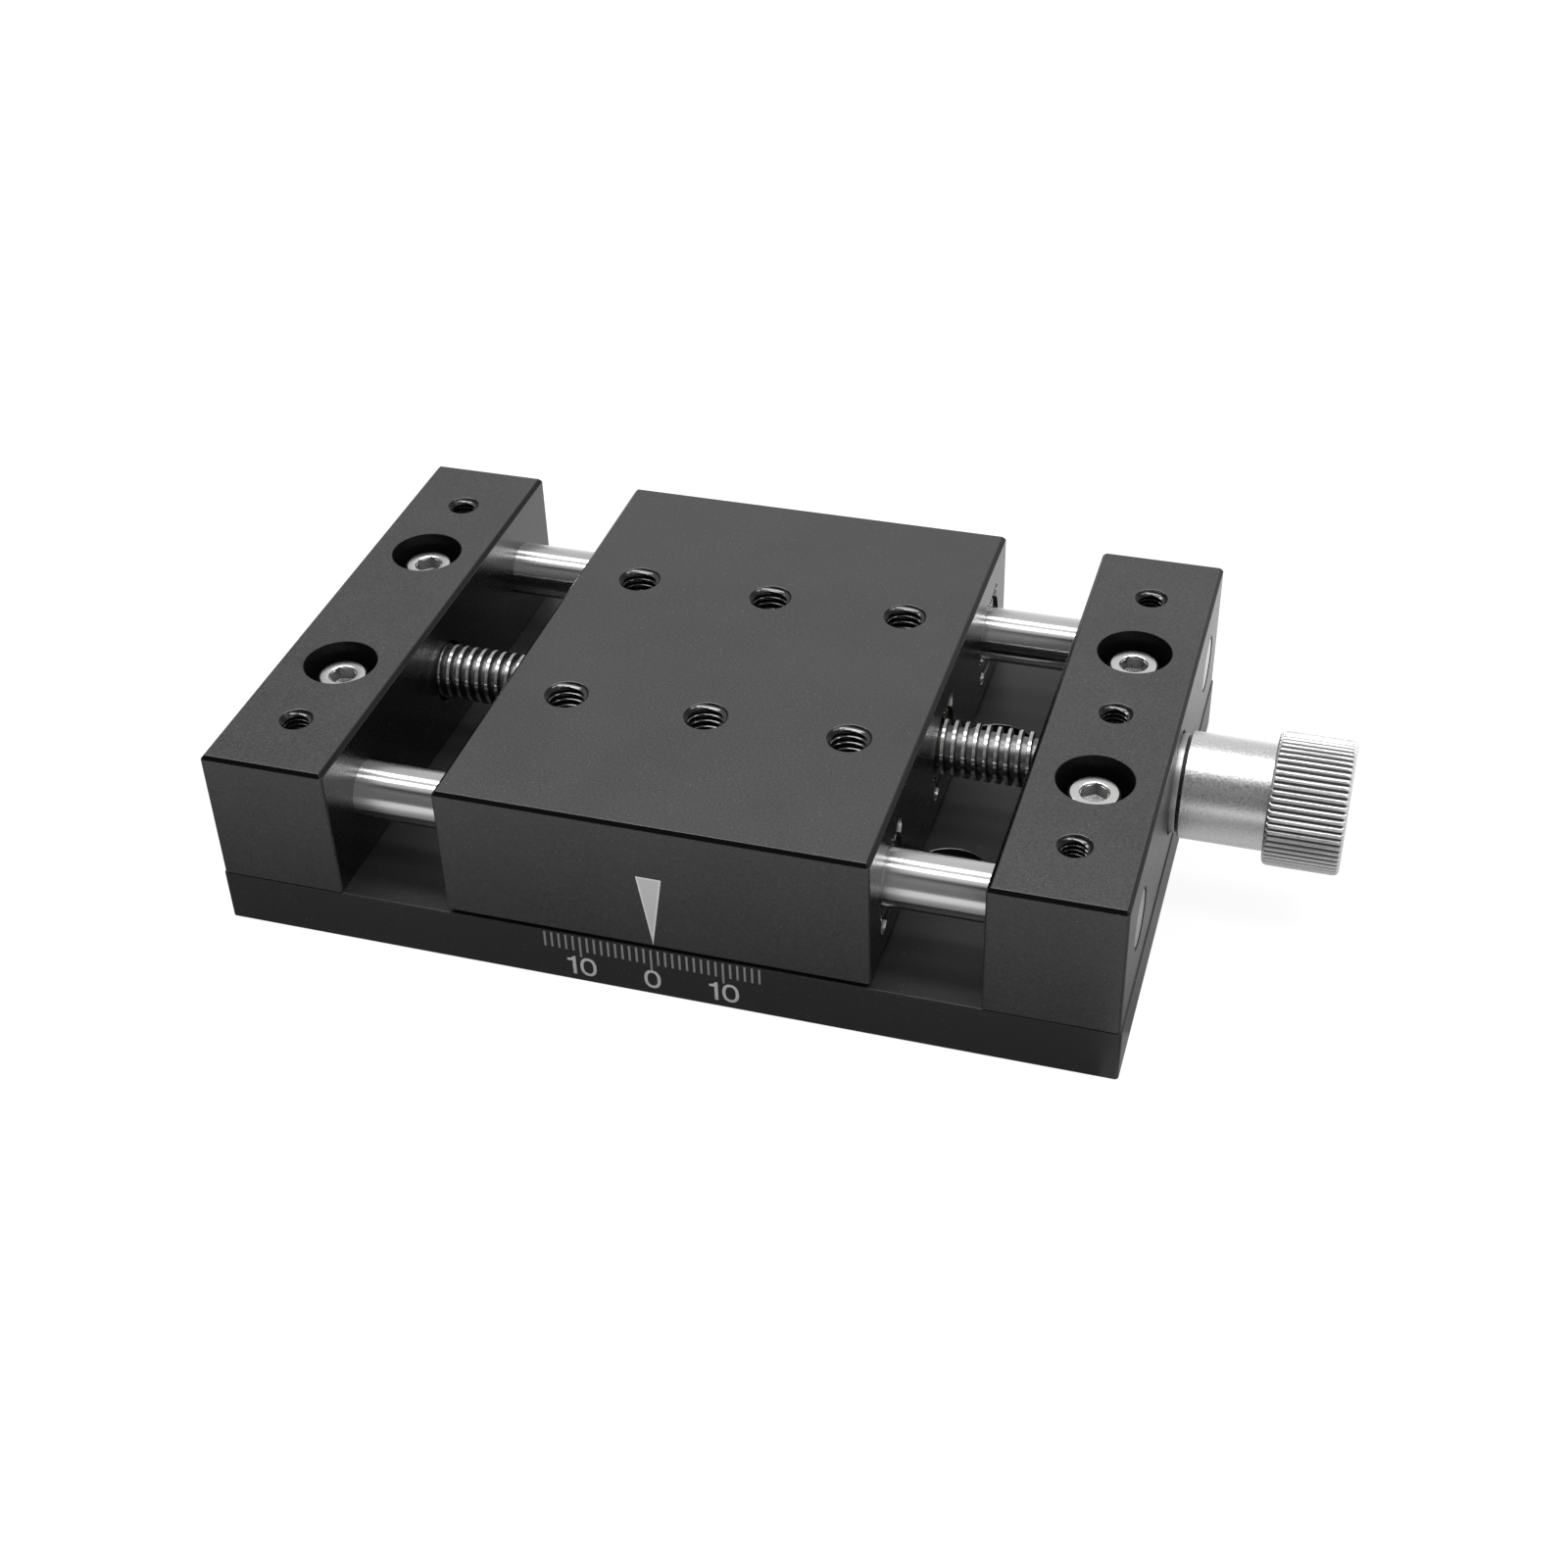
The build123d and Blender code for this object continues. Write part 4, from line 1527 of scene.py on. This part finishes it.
@dataclass
class Knob:
    """The knob with its blasted hub and fluted head, and the collar and washer behind it."""

    start: float = 63.5
    hub_radius: float = 7.35
    hub_length: float = 11.5
    head_radius: float = 9.1
    head_length: float = 10.3
    bore: float = 3.01
    bore_depth: float = 16.0
    flutes: int = 60
    flute_depth: float = 0.35
    flute_land: float = 0.3
    rim: float = 0.8
    ease: float = 0.25
    set_screw_hole: float = 2.1
    collar_ends: tuple[float, float, float] = (61.5, 61.9, 63.2)
    collar_radii: tuple[float, float, float] = (3.01, 4.11, 6.8)
    washer_radius: float = 6.5

    def outline(self) -> list[Point]:
        """The knob's section along its axis, from its own start.

        Returns:
            Points of (place along the axis, radius).
        """
        head, end = self.hub_length, self.hub_length + self.head_length
        wide, rim, hub, deep = self.head_radius, self.rim, self.hub_radius, self.bore_depth
        points = [(0.0, self.bore), (0.0, hub - self.ease), (self.ease, hub), (head, hub)]
        bend = quarter(rim)
        points += [(head - back, wide - out) for back, out in bend]
        straight = self.head_length - 2 * rim
        points += [(head + rim + straight * share, wide) for share in (0.25, 0.5, 0.75)]
        points += [(end + back, wide - out) for back, out in reversed(bend)]
        return points + [(end, wide - rim - 0.6), (end, 0.0), (deep, 0.0), (deep, self.bore)]

    def build(self) -> None:
        """Builds and dresses knob, collar and washer."""
        source = lathe(self.outline(), self.flutes * 10).to_object("knob_source")
        values: dict[str, object] = {
            "Low": (self.hub_length + 0.01) * MM,
            "High": (self.hub_length + self.head_length - 0.01) * MM,
            "Radius": self.head_radius * MM,
            "Depth": self.flute_depth * MM,
            "Land": self.flute_land,
            "Count": float(self.flutes),
        }
        grow(source, FLUTES, values)
        fluted = plain(source, "knob_fluted")
        fluted.data.transform(Facing.DRIVE.matrix((self.start, 0, AXIS_HEIGHT)))
        cross = lathe(hole((self.set_screw_hole, self.hub_radius), lip=0.15), 64)
        middle = self.start + self.hub_length / 2
        bottom = (middle, 0, AXIS_HEIGHT - self.hub_radius + 0.05)
        tool = cross.moved(Facing.DOWN, bottom).to_object("knob_cross_hole")
        drilled = smooth(cut(fluted, [tool], "knob_body"), 24.0)
        drilled.data.materials.clear()
        paint(drilled, (BLASTED, FLUTED, SHADED_GROOVE))
        head = (self.start + self.hub_length) * MM
        low, high = head + 0.5 * self.rim * MM, head + (self.head_length - 0.5 * self.rim) * MM
        sunk = (self.head_radius - 0.5 * self.flute_depth) * MM
        for polygon in drilled.data.polygons:
            spot = polygon.center
            polygon.material_index = int(spot.x > head)
            reach = math.hypot(spot.y, spot.z - AXIS_HEIGHT * MM)
            # Faces in the flutes' bottoms take the third finish, painted shade.
            if low < spot.x < high and 0.9 * sunk < reach < sunk:
                polygon.material_index = 2
        settle(drilled, Body.SCREW, BLASTED, "knob")
        self.build_collar()

    def build_collar(self) -> None:
        """Builds and dresses the collar and the washer."""
        start, step, end = self.collar_ends
        bore, neck, wide = self.collar_radii
        foot = [(start, bore), (start, neck), (step, neck), (step, wide), (end, wide), (end, bore)]
        collar = round_piece(on_axis(lathe(eased(foot, 0.12), 160)), "thrust_collar_ring")
        settle(collar, Body.SCREW, COLLAR_STEEL, "thrust_collar")
        thin, far = self.washer_radius, self.start
        ring = [(end, bore), (end, thin), (far, thin), (far, bore)]
        washer = round_piece(on_axis(lathe(eased(ring, 0.08), 160)), "friction_washer_ring")
        settle(washer, Body.SCREW, ACETAL, "friction_washer")


@dataclass
class Carriage:
    """The carriage with its bushes, nut, key screws and tapped holes for the load."""

    length: float = 58.8
    height: float = 19.8
    low: float = 8.7
    corner: float = 0.5
    load_pitch: float = 20.0
    load_row: float = 15.0
    passage: float = 4.5
    sleeve_radius: float = 6.0
    sleeve_bevel: float = 0.4
    bore_bevel: float = 0.25
    bush: Point = (4.03, 16.0)
    nut: Point = (4.05, 24.0)
    recess: float = 0.5
    key_angle: float = 52.0
    key_radius: float = 1.6
    key_length: float = 6.0

    @property
    def top(self) -> float:
        """Height of the top face."""
        return self.low + self.height

    def face(self, side: int) -> float:
        """X of the end face on one side."""
        return CARRIAGE_READING + side * self.length / 2

    def key_places(self, y: float) -> list[Point]:
        """Places of the two key screws on the rim of a sleeve.

        Args:
            y: The sleeve's place across the stage.

        Returns:
            Y and Z of each screw.
        """
        angle = math.radians(self.key_angle)
        step_y, step_z = self.sleeve_radius * math.cos(angle), self.sleeve_radius * math.sin(angle)
        return [(y + sign * step_y, AXIS_HEIGHT + sign * step_z) for sign in (1, -1)]

    def keys(self, nut: bool) -> list[tuple[int, Point]]:
        """Side, with Y and Z, of each key screw of the nut or of the bushes."""
        sides, rows = ((1,), (0.0,)) if nut else (BOTH, (-RAIL_PLACE, RAIL_PLACE))
        return [(side, key) for side in sides for y in rows for key in self.key_places(y)]

    def bores(self) -> list[Shell]:
        """The stepped passages for the rails and the lead screw.

        Returns:
            The cutters.
        """
        half, wide, thin = self.length / 2, self.sleeve_radius + 0.01, self.passage
        seat, nut_seat = (half - self.recess - length for _, length in (self.bush, self.nut))
        rim = open_end(half, 1, wide)
        rail = rim + [(seat, wide), (seat, thin), (-seat, thin), (-seat, wide)]
        rail += reversed(open_end(-half, -1, wide))
        nut = rim + [(nut_seat, wide), (nut_seat, thin)]
        nut += reversed(open_end(-half, -1, thin))
        skins = {2: Skin.FACE, 3: Skin.FACE}
        return [
            on_axis(lathe(outline, ROUND, Skin.BORE, skins), CARRIAGE_READING, y)
            for outline, y in ((rail, -RAIL_PLACE), (rail, RAIL_PLACE), (nut, 0.0))
        ]

    def build(self) -> None:
        """Builds and dresses the carriage and what it carries."""
        size, edges = (self.length, WIDTH, self.height), (LOW_CHAMFER, TOP_CHAMFER)
        # Both end faces take the end skin, painted shade of the gaps.
        block = rounded_plate(size, (CARRIAGE_READING, 0, self.low), edges, self.corner, BOTH)
        places = [
            (CARRIAGE_READING + step * self.load_pitch, sign * self.load_row, self.top)
            for step in (-1, 0, 1)
            for sign in BOTH
        ]
        outline = hole((self.key_radius, self.recess + self.key_length), lip=0.06)
        key = lathe(outline, 64, Skin.BARE)
        keys = [
            key.moved(Facing.end(side), (self.face(side), y, z))
            for side, (y, z) in self.keys(True) + self.keys(False)
        ]
        cutters = [self.bores(), keys, *M6_TAPPED.cutters(places)]
        piece = carved(block, cutters, "carriage_body", BLACK)
        settle(piece, Body.CARRIAGE, ANODISED, "carriage")
        self.build_sleeves()
        self.build_keys()

    def seat(self, side: int) -> float:
        """X of the sleeves' and key screws' outer ends on one side."""
        return self.face(side) - side * self.recess

    def build_sleeve(
        self, side: int, y: float, bore_and_length: Point, node: str, finish: Finish
    ) -> None:
        """Builds and dresses a bush or the nut, with the half holes of its key screws.

        Args:
            side: End of the carriage that it sits in.
            y: Its place across the stage.
            bore_and_length: Radius of its bore and its length.
            node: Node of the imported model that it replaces.
            finish: Its finish.
        """
        bore, length = bore_and_length
        wide, rim, neck = self.sleeve_radius, self.sleeve_bevel, self.bore_bevel
        outline = [(0, bore + neck), (0, wide - rim), (-rim, wide), (rim - length, wide)]
        outline += [(-length, wide - rim), (-length, bore + neck), (neck - length, bore)]
        outline = eased(outline + [(-neck, bore)], 0.06, 2)
        facing, start = Facing.end(side), self.seat(side)
        ring = lathe(outline, ROUND).moved(facing, (start, y, AXIS_HEIGHT))
        key = lathe(hole((self.key_radius, self.key_length), lip=0.05), 64)
        cutters = [key.moved(facing, (start, *place)) for place in self.key_places(y)]
        sleeve = carved(ring, [cutters], node + "_sleeve", (finish,))
        settle(sleeve, Body.CARRIAGE, finish, node)

    def build_sleeves(self) -> None:
        """Builds and dresses the four bushes and the nut."""
        for row, y in (("front", -RAIL_PLACE), ("rear", RAIL_PLACE)):
            for end, side in (("idle", -1), ("drive", 1)):
                self.build_sleeve(side, y, self.bush, f"bush_{row}_{end}", BRONZE)
        self.build_sleeve(1, 0.0, self.nut, "lead_nut", SHADED_BRASS)

    def build_keys(self) -> None:
        """Builds and dresses the key screws on the sleeves' rims."""
        for node, nut in (("bush_key_screws", False), ("nut_key_screws", True)):
            keys = self.keys(nut)
            places = [(self.seat(side), y, z) for side, (y, z) in keys]
            facing = [(float(side), 0.0, 0.0) for side, _ in keys]
            rolls = [17.0 * index for index in range(len(keys))]
            KEY_SCREW.build(node, Body.CARRIAGE, BRIGHT_SCREW, places, facing, rolls)


@dataclass
class Fasteners:
    """The screws of the end blocks, the rails, the brake and the knob."""

    cap_top: float = 26.0
    grub_top: float = 25.0
    pad_ends: Point = (21.1, 22.0)
    pad_radius: float = 1.6
    knob_place: Place = (69.25, 0.0, 11.5)

    def build(self) -> None:
        """Builds and dresses all the screws of the frame and the knob."""
        up, down = (0.0, 0.0, 1.0), (0.0, 0.0, -1.0)
        corners = [(x * BLOCK_MIDDLE, y) for x in BOTH for y in BOTH]
        caps = [(x, y * CAP_PLACE, self.cap_top) for x, y in corners]
        clamps = [(x, y * RAIL_PLACE, self.grub_top) for x, y in corners]
        brake = [(BLOCK_MIDDLE, 0.0, self.grub_top)]
        for node, screw, finishes, places, rolls in (
            ("block_cap_screws", M4_CAP, BRIGHT_SCREW, caps, (12.0, 41.0, 30.0, 4.0)),
            ("rail_clamp_screws", M4_GRUB, DARK_SCREW, clamps, (0.0, 22.0, 37.0, 9.0)),
            ("brake_screw", M4_GRUB, DARK_SCREW, brake, (15.0,)),
        ):
            screw.build(node, Body.FRAME, finishes, places, [up] * len(places), rolls)
        (low, high), wide = self.pad_ends, self.pad_radius
        disc = lathe(eased([(low, 0), (low, wide), (high, wide), (high, 0)], 0.1), 64)
        pad = round_piece(disc.moved(Facing.UP, (BLOCK_MIDDLE, 0, 0)), "brake_pad_disc")
        settle(pad, Body.FRAME, NYLON, "brake_pad")
        knob = ([self.knob_place], [down], (5.0,))
        LONG_GRUB.build("knob_set_screw", Body.SCREW, DARK_SCREW, *knob)


def slab(outline: Sequence[Point], near: float, far: float, inside: Sequence[Point] = ()) -> Shell:
    """A thin flat shape that stands upright across the stage.

    Args:
        outline: Points of (X, Z) round the shape.
        near: Y of its front.
        far: Y of its back.
        inside: As many points round an opening in it, if it has one.

    Returns:
        The closed shell.
    """
    count = len(outline)
    loops = [(outline, near), (outline, far)] + ([(inside, near), (inside, far)] if inside else [])
    points = [(x, y, z) for loop, y in loops for x, z in loop]
    faces: list[tuple[int, ...]] = []
    walls = ((0, 1), (2, 3), (0, 2), (1, 3)) if inside else ((0, 1),)
    for index in range(count):
        after = (index + 1) % count
        for near_loop, far_loop in walls:
            low, high = near_loop * count, far_loop * count
            faces.append((low + index, low + after, high + after, high + index))
    if not inside:
        faces += [tuple(range(count)), tuple(range(count, 2 * count))]
    return Shell(np.array(points, float), faces)


@dataclass
class Scale:
    """The scale on the base plate's front and the pointer on the carriage."""

    face: float = -40.0
    thick: float = 0.04
    digit_height: float = 3.1
    digit_low: float = 1.15
    zero_width: float = 2.3
    zero_bend: float = 0.86
    ten_places: Point = (-0.85, 0.9)
    stroke: float = 0.44
    tick_width: float = 0.3
    tick_top: float = 7.84
    pointer_width: float = 3.5
    pointer_top: float = 20.3
    pointer_tip: float = 8.95
    pointer_rim: float = 0.25

    def build(self) -> None:
        """Builds and dresses the marks, the numbers and the pointer."""
        base = link("scale_source", bpy.data.meshes.new("scale_source"))
        sizes = {"Thick": self.thick, "Face": self.face}
        sizes |= {"Width": self.tick_width, "Top": self.tick_top}
        grow(base, TICKS, {name: size * MM for name, size in sizes.items()})
        settle(plain(base, "scale_ticks"), Body.FRAME, TICK_PAINT)
        for name, x in (("left", -10.0), ("right", 10.0)):
            one, zero = self.ten_places
            ten = self.one(x + one).with_others([self.zero(x + zero)])
            settle(ten.to_object("scale_number_" + name), Body.FRAME, NUMBERS)
        settle(self.zero(0.0).to_object("scale_number_middle"), Body.FRAME, NUMBERS)
        self.build_pointer()

    def upright(self, outline: Sequence[Point], inside: Sequence[Point] = ()) -> Shell:
        """A flat mark on the front of the stage."""
        return slab(outline, self.face - self.thick / 2, self.face + self.thick / 2, inside)

    def zero(self, x: float) -> Shell:
        """A zero, as a ring between two rounded loops.

        Args:
            x: Its middle.

        Returns:
            The closed shell.
        """
        middle = self.digit_low + self.digit_height / 2
        angles = np.linspace(0, TURN, 48, endpoint=False)
        ways = [(math.cos(angle), math.sin(angle)) for angle in angles]
        bent = [[math.copysign(abs(way) ** self.zero_bend, way) for way in pair] for pair in ways]
        loops = []
        for inset in (0.0, self.stroke):
            wide, high = self.zero_width / 2 - inset, self.digit_height / 2 - 0.92 * inset
            loops.append([(x + wide * across, middle + high * up) for across, up in bent])
        return self.upright(*loops)

    def one(self, x: float) -> Shell:
        """A one, with a short flag.

        Args:
            x: The right side of its stem.

        Returns:
            The closed shell.
        """
        low, high, wide = self.digit_low, self.digit_low + self.digit_height, self.stroke + 0.04
        outline = [(x - wide, low), (x, low), (x, high), (x - 0.7 * wide, high)]
        outline += [(x - 1.25 * wide, high - 0.34), (x - 2.5 * wide, high - 0.48)]
        outline += [(x - 2.5 * wide, high - 0.82), (x - wide, high - 0.82)]
        return self.upright(outline)

    def build_pointer(self) -> None:
        """Builds the pointer's fill and its paler rim."""
        half, low, high = self.pointer_width / 2, self.pointer_tip, self.pointer_top
        tall = high - low
        inradius = half * tall / (half + math.hypot(half, tall))
        middle_z = high - inradius
        outer = [(-half, high), (half, high), (0.0, low)]
        scale = 1 - self.pointer_rim / inradius
        inner = [(x * scale, middle_z + (z - middle_z) * scale) for x, z in outer]
        place = [(CARRIAGE_READING + x, z) for x, z in outer]
        inside = [(CARRIAGE_READING + x, z) for x, z in inner]
        rim = self.upright(place, inside).to_object("pointer_rim")
        settle(rim, Body.CARRIAGE, POINTER_RIM)
        settle(self.upright(inside).to_object("pointer_fill"), Body.CARRIAGE, POINTER_FILL)


@dataclass
class Studio:
    """The pale floor, the soft lights and the camera.

    The floor and the room look white to the camera. All other rays meet a floor that is pale
    ahead of the stage, dark under it and grey beside its drive end, a painted shadow, and that
    glows in mirrored rays from ahead of the stage backwards, a painted light. The room's level
    follows the tilt: tilt_levels holds degrees from overhead towards the front, and the level
    there. Past dark_edges, measured along X from dark_middle, the room has its side_level.
    """

    lens: float = 52.406
    sensor: float = 36.0
    eye: Place = (86.138, -248.647, 208.390)
    right: Place = (0.95804, 0.28538, -0.02673)
    up: Place = (-0.15421, 0.59181, 0.79119)
    back: Place = (0.24161, -0.75387, 0.61099)
    box_length: float = 1.9
    box_level: float = 5.5
    box_distance: float = 1.2
    floor_reach: float = 3000.0
    floor_height: float = -0.05
    # Where the floor's painted shadow and painted glow change, in metres, and their levels.
    drive_end: float = 0.06
    drive_corner: Point = (0.0655, -0.031)
    drive_rise: Point = (-0.0325, -0.0075)
    drive_level: float = 0.3
    glow_rise: Point = (-1 / 12, 0.0)
    rear_rise: Point = (0.035, 0.06)
    glow_levels: Point = (0.4, 0.45)
    dark_middle: float = -0.24
    dark_edges: Point = (0.35, 0.55)
    side_level: float = 0.85
    dim_edges: Point = (-0.38, -0.48)
    dim_loss: float = 0.45
    tilt_levels: tuple[tuple[float, float], ...] = (
        (-180.0, 0.7),
        (-100.0, 0.9),
        (-72.0, 0.74),
        (-50.0, 0.66),
        (-28.0, 0.66),
        (-8.0, 0.72),
        (16.0, 0.72),
        (23.0, 0.68),
        (28.0, 0.42),
        (32.0, 0.22),
        (34.5, 0.03),
        (40.0, 0.03),
        (43.0, 0.12),
        (51.0, 0.2),
        (64.0, 0.15),
        (82.0, 0.13),
        (88.0, 0.3),
        (91.0, 0.45),
        (180.0, 0.6),
    )

    def build(self) -> None:
        """Builds the whole studio."""
        bpy.context.scene.view_settings.view_transform = "Standard"
        self.build_camera()
        self.build_floor()
        self.build_world()
        self.build_softbox("strip_front", 8.5, 9.5)
        self.build_softbox("strip_rear", -17.5, 10.5)

    def build_camera(self) -> None:
        """Sets the camera where the photo was taken from."""
        data = bpy.data.cameras.new("camera")
        data.lens = self.lens
        data.sensor_width = self.sensor
        data.sensor_fit = "HORIZONTAL"
        data.clip_start, data.clip_end = 0.01, 50.0
        camera = link("camera", data)
        turn = Matrix((self.right, self.up, self.back)).transposed().to_4x4()
        camera.matrix_world = Matrix.Translation(Vector(self.eye) * MM) @ turn
        bpy.context.scene.camera = camera

    def build_floor(self) -> None:
        """Lays the floor, white to the camera with a faint shadow of the object."""
        reach, z = self.floor_reach, self.floor_height
        corners = [(-reach, -reach, z), (reach, -reach, z), (reach, reach, z), (-reach, reach, z)]
        floor = Shell(np.array(corners), [(0, 1, 2, 3)]).to_object("floor")
        material = bpy.data.materials.new("pale_floor")
        tree = Tree.of(material)
        calc, add = tree.math, tree.add
        path = add("ShaderNodeLightPath")
        shadow = add("ShaderNodeBsdfDiffuse", {"Color": (0.2, 0.2, 0.2, 1.0)})
        white = add("ShaderNodeEmission", {"Strength": 0.89})
        seen = add("ShaderNodeAddShader", {0: shadow.outputs[0], 1: white.outputs[0]})
        x, y, _ = tree.parts(tree.place())
        # Painted shadow for other rays: dark under the stage, grey by its drive end, pale ahead.
        fall = {0: y, "From Min": -0.09, "From Max": -0.045, "To Min": 0.62, "To Max": 0.08}
        ahead = add("ShaderNodeMapRange", fall, interpolation_type="SMOOTHSTEP").outputs[0]
        near_x, near_y = (
            calc("LESS_THAN", at, limit) for at, limit in zip((x, y), self.drive_corner)
        )
        corner = calc("MULTIPLY", near_x, near_y)
        past = calc("MAXIMUM", corner, tree.ramp(y, *self.drive_rise))
        beside = calc("MULTIPLY", calc("GREATER_THAN", x, self.drive_end), past)
        shade = calc("MAXIMUM", ahead, calc("MULTIPLY", beside, self.drive_level))
        lit = add("ShaderNodeBsdfDiffuse", {"Color": shade})
        # Painted light: in mirrors the floor glows beside the stage and from ahead of it back.
        behind = calc("MAXIMUM", tree.ramp(y, *self.glow_rise), beside)
        low, rise = self.glow_levels
        level = calc("MULTIPLY_ADD", tree.ramp(y, *self.rear_rise), rise, low)
        glossy, through = path.outputs["Is Glossy Ray"], path.outputs["Is Transmission Ray"]
        mirrored = calc("MAXIMUM", glossy, through)
        strength = calc("MULTIPLY", mirrored, calc("MULTIPLY", behind, level))
        glow = add("ShaderNodeEmission", {"Strength": strength})
        other = add("ShaderNodeAddShader", {0: lit.outputs[0], 1: glow.outputs[0]})
        tree.end("ShaderNodeOutputMaterial", tree.by_ray(path, other, seen))
        floor.data.materials.append(material)

    def build_world(self) -> None:
        """Lights the room by the tilt from overhead towards the front of the stage."""
        world = bpy.data.worlds.new("studio")
        tree = Tree.of(world)
        calc, add = tree.math, tree.add
        x, y, z = tree.parts(add("ShaderNodeTexCoord").outputs["Generated"])
        tilt = calc("ARCTAN2", calc("MULTIPLY", y, -1.0), z)
        share = calc("MULTIPLY_ADD", tilt, 1 / TURN, 0.5)
        levels = add("ShaderNodeValToRGB", {0: share})
        stops = levels.color_ramp.elements
        for index, (angle, level) in enumerate(self.tilt_levels):
            at = angle / 360 + 0.5
            stop = stops[index] if index < 2 else stops.new(at)
            stop.position = at
            stop.color = (level, level, level, 1.0)
        aside = calc("ABSOLUTE", calc("SUBTRACT", x, self.dark_middle))
        sides = calc("MULTIPLY", tree.ramp(aside, *self.dark_edges), self.side_level)
        level = calc("MAXIMUM", levels.outputs[0], sides)
        dim = calc("MULTIPLY_ADD", tree.ramp(x, *self.dim_edges), -self.dim_loss, 1.0)
        light = add("ShaderNodeBackground", {"Color": level, "Strength": dim})
        white = add("ShaderNodeBackground", {"Color": (1.0, 1.0, 1.0, 1.0)})
        shown = tree.by_ray(add("ShaderNodeLightPath"), light, white)
        tree.end("ShaderNodeOutputWorld", shown)
        bpy.context.scene.world = world

    def build_softbox(self, name: str, tilt: float, spread: float) -> None:
        """Hangs a softbox over the stage.

        Args:
            name: Name of the lamp.
            tilt: Angle from overhead towards the front, in degrees.
            spread: Angle that it takes up, in degrees.
        """
        data = bpy.data.lights.new(name, "AREA")
        data.shape = "RECTANGLE"
        data.size = self.box_length
        data.size_y = 2 * self.box_distance * math.tan(math.radians(spread / 2))
        data.energy = self.box_level * math.pi * data.size * data.size_y
        lamp = link(name, data)
        turn = Matrix.Rotation(math.radians(tilt), 4, "X")
        lamp.matrix_world = turn @ Matrix.Translation((0.0, 0.0, self.box_distance))


def main() -> None:
    """Builds the stage's pieces and the studio."""
    Studio().build()
    BasePlate().build()
    EndBlock(-1).build("idle_end_block")
    EndBlock(1).build("drive_end_block")
    Rails().build()
    LeadScrew().build()
    Bearings().build()
    Knob().build()
    Carriage().build()
    Fasteners().build()
    Scale().build()


if __name__ == "__main__":
    main()
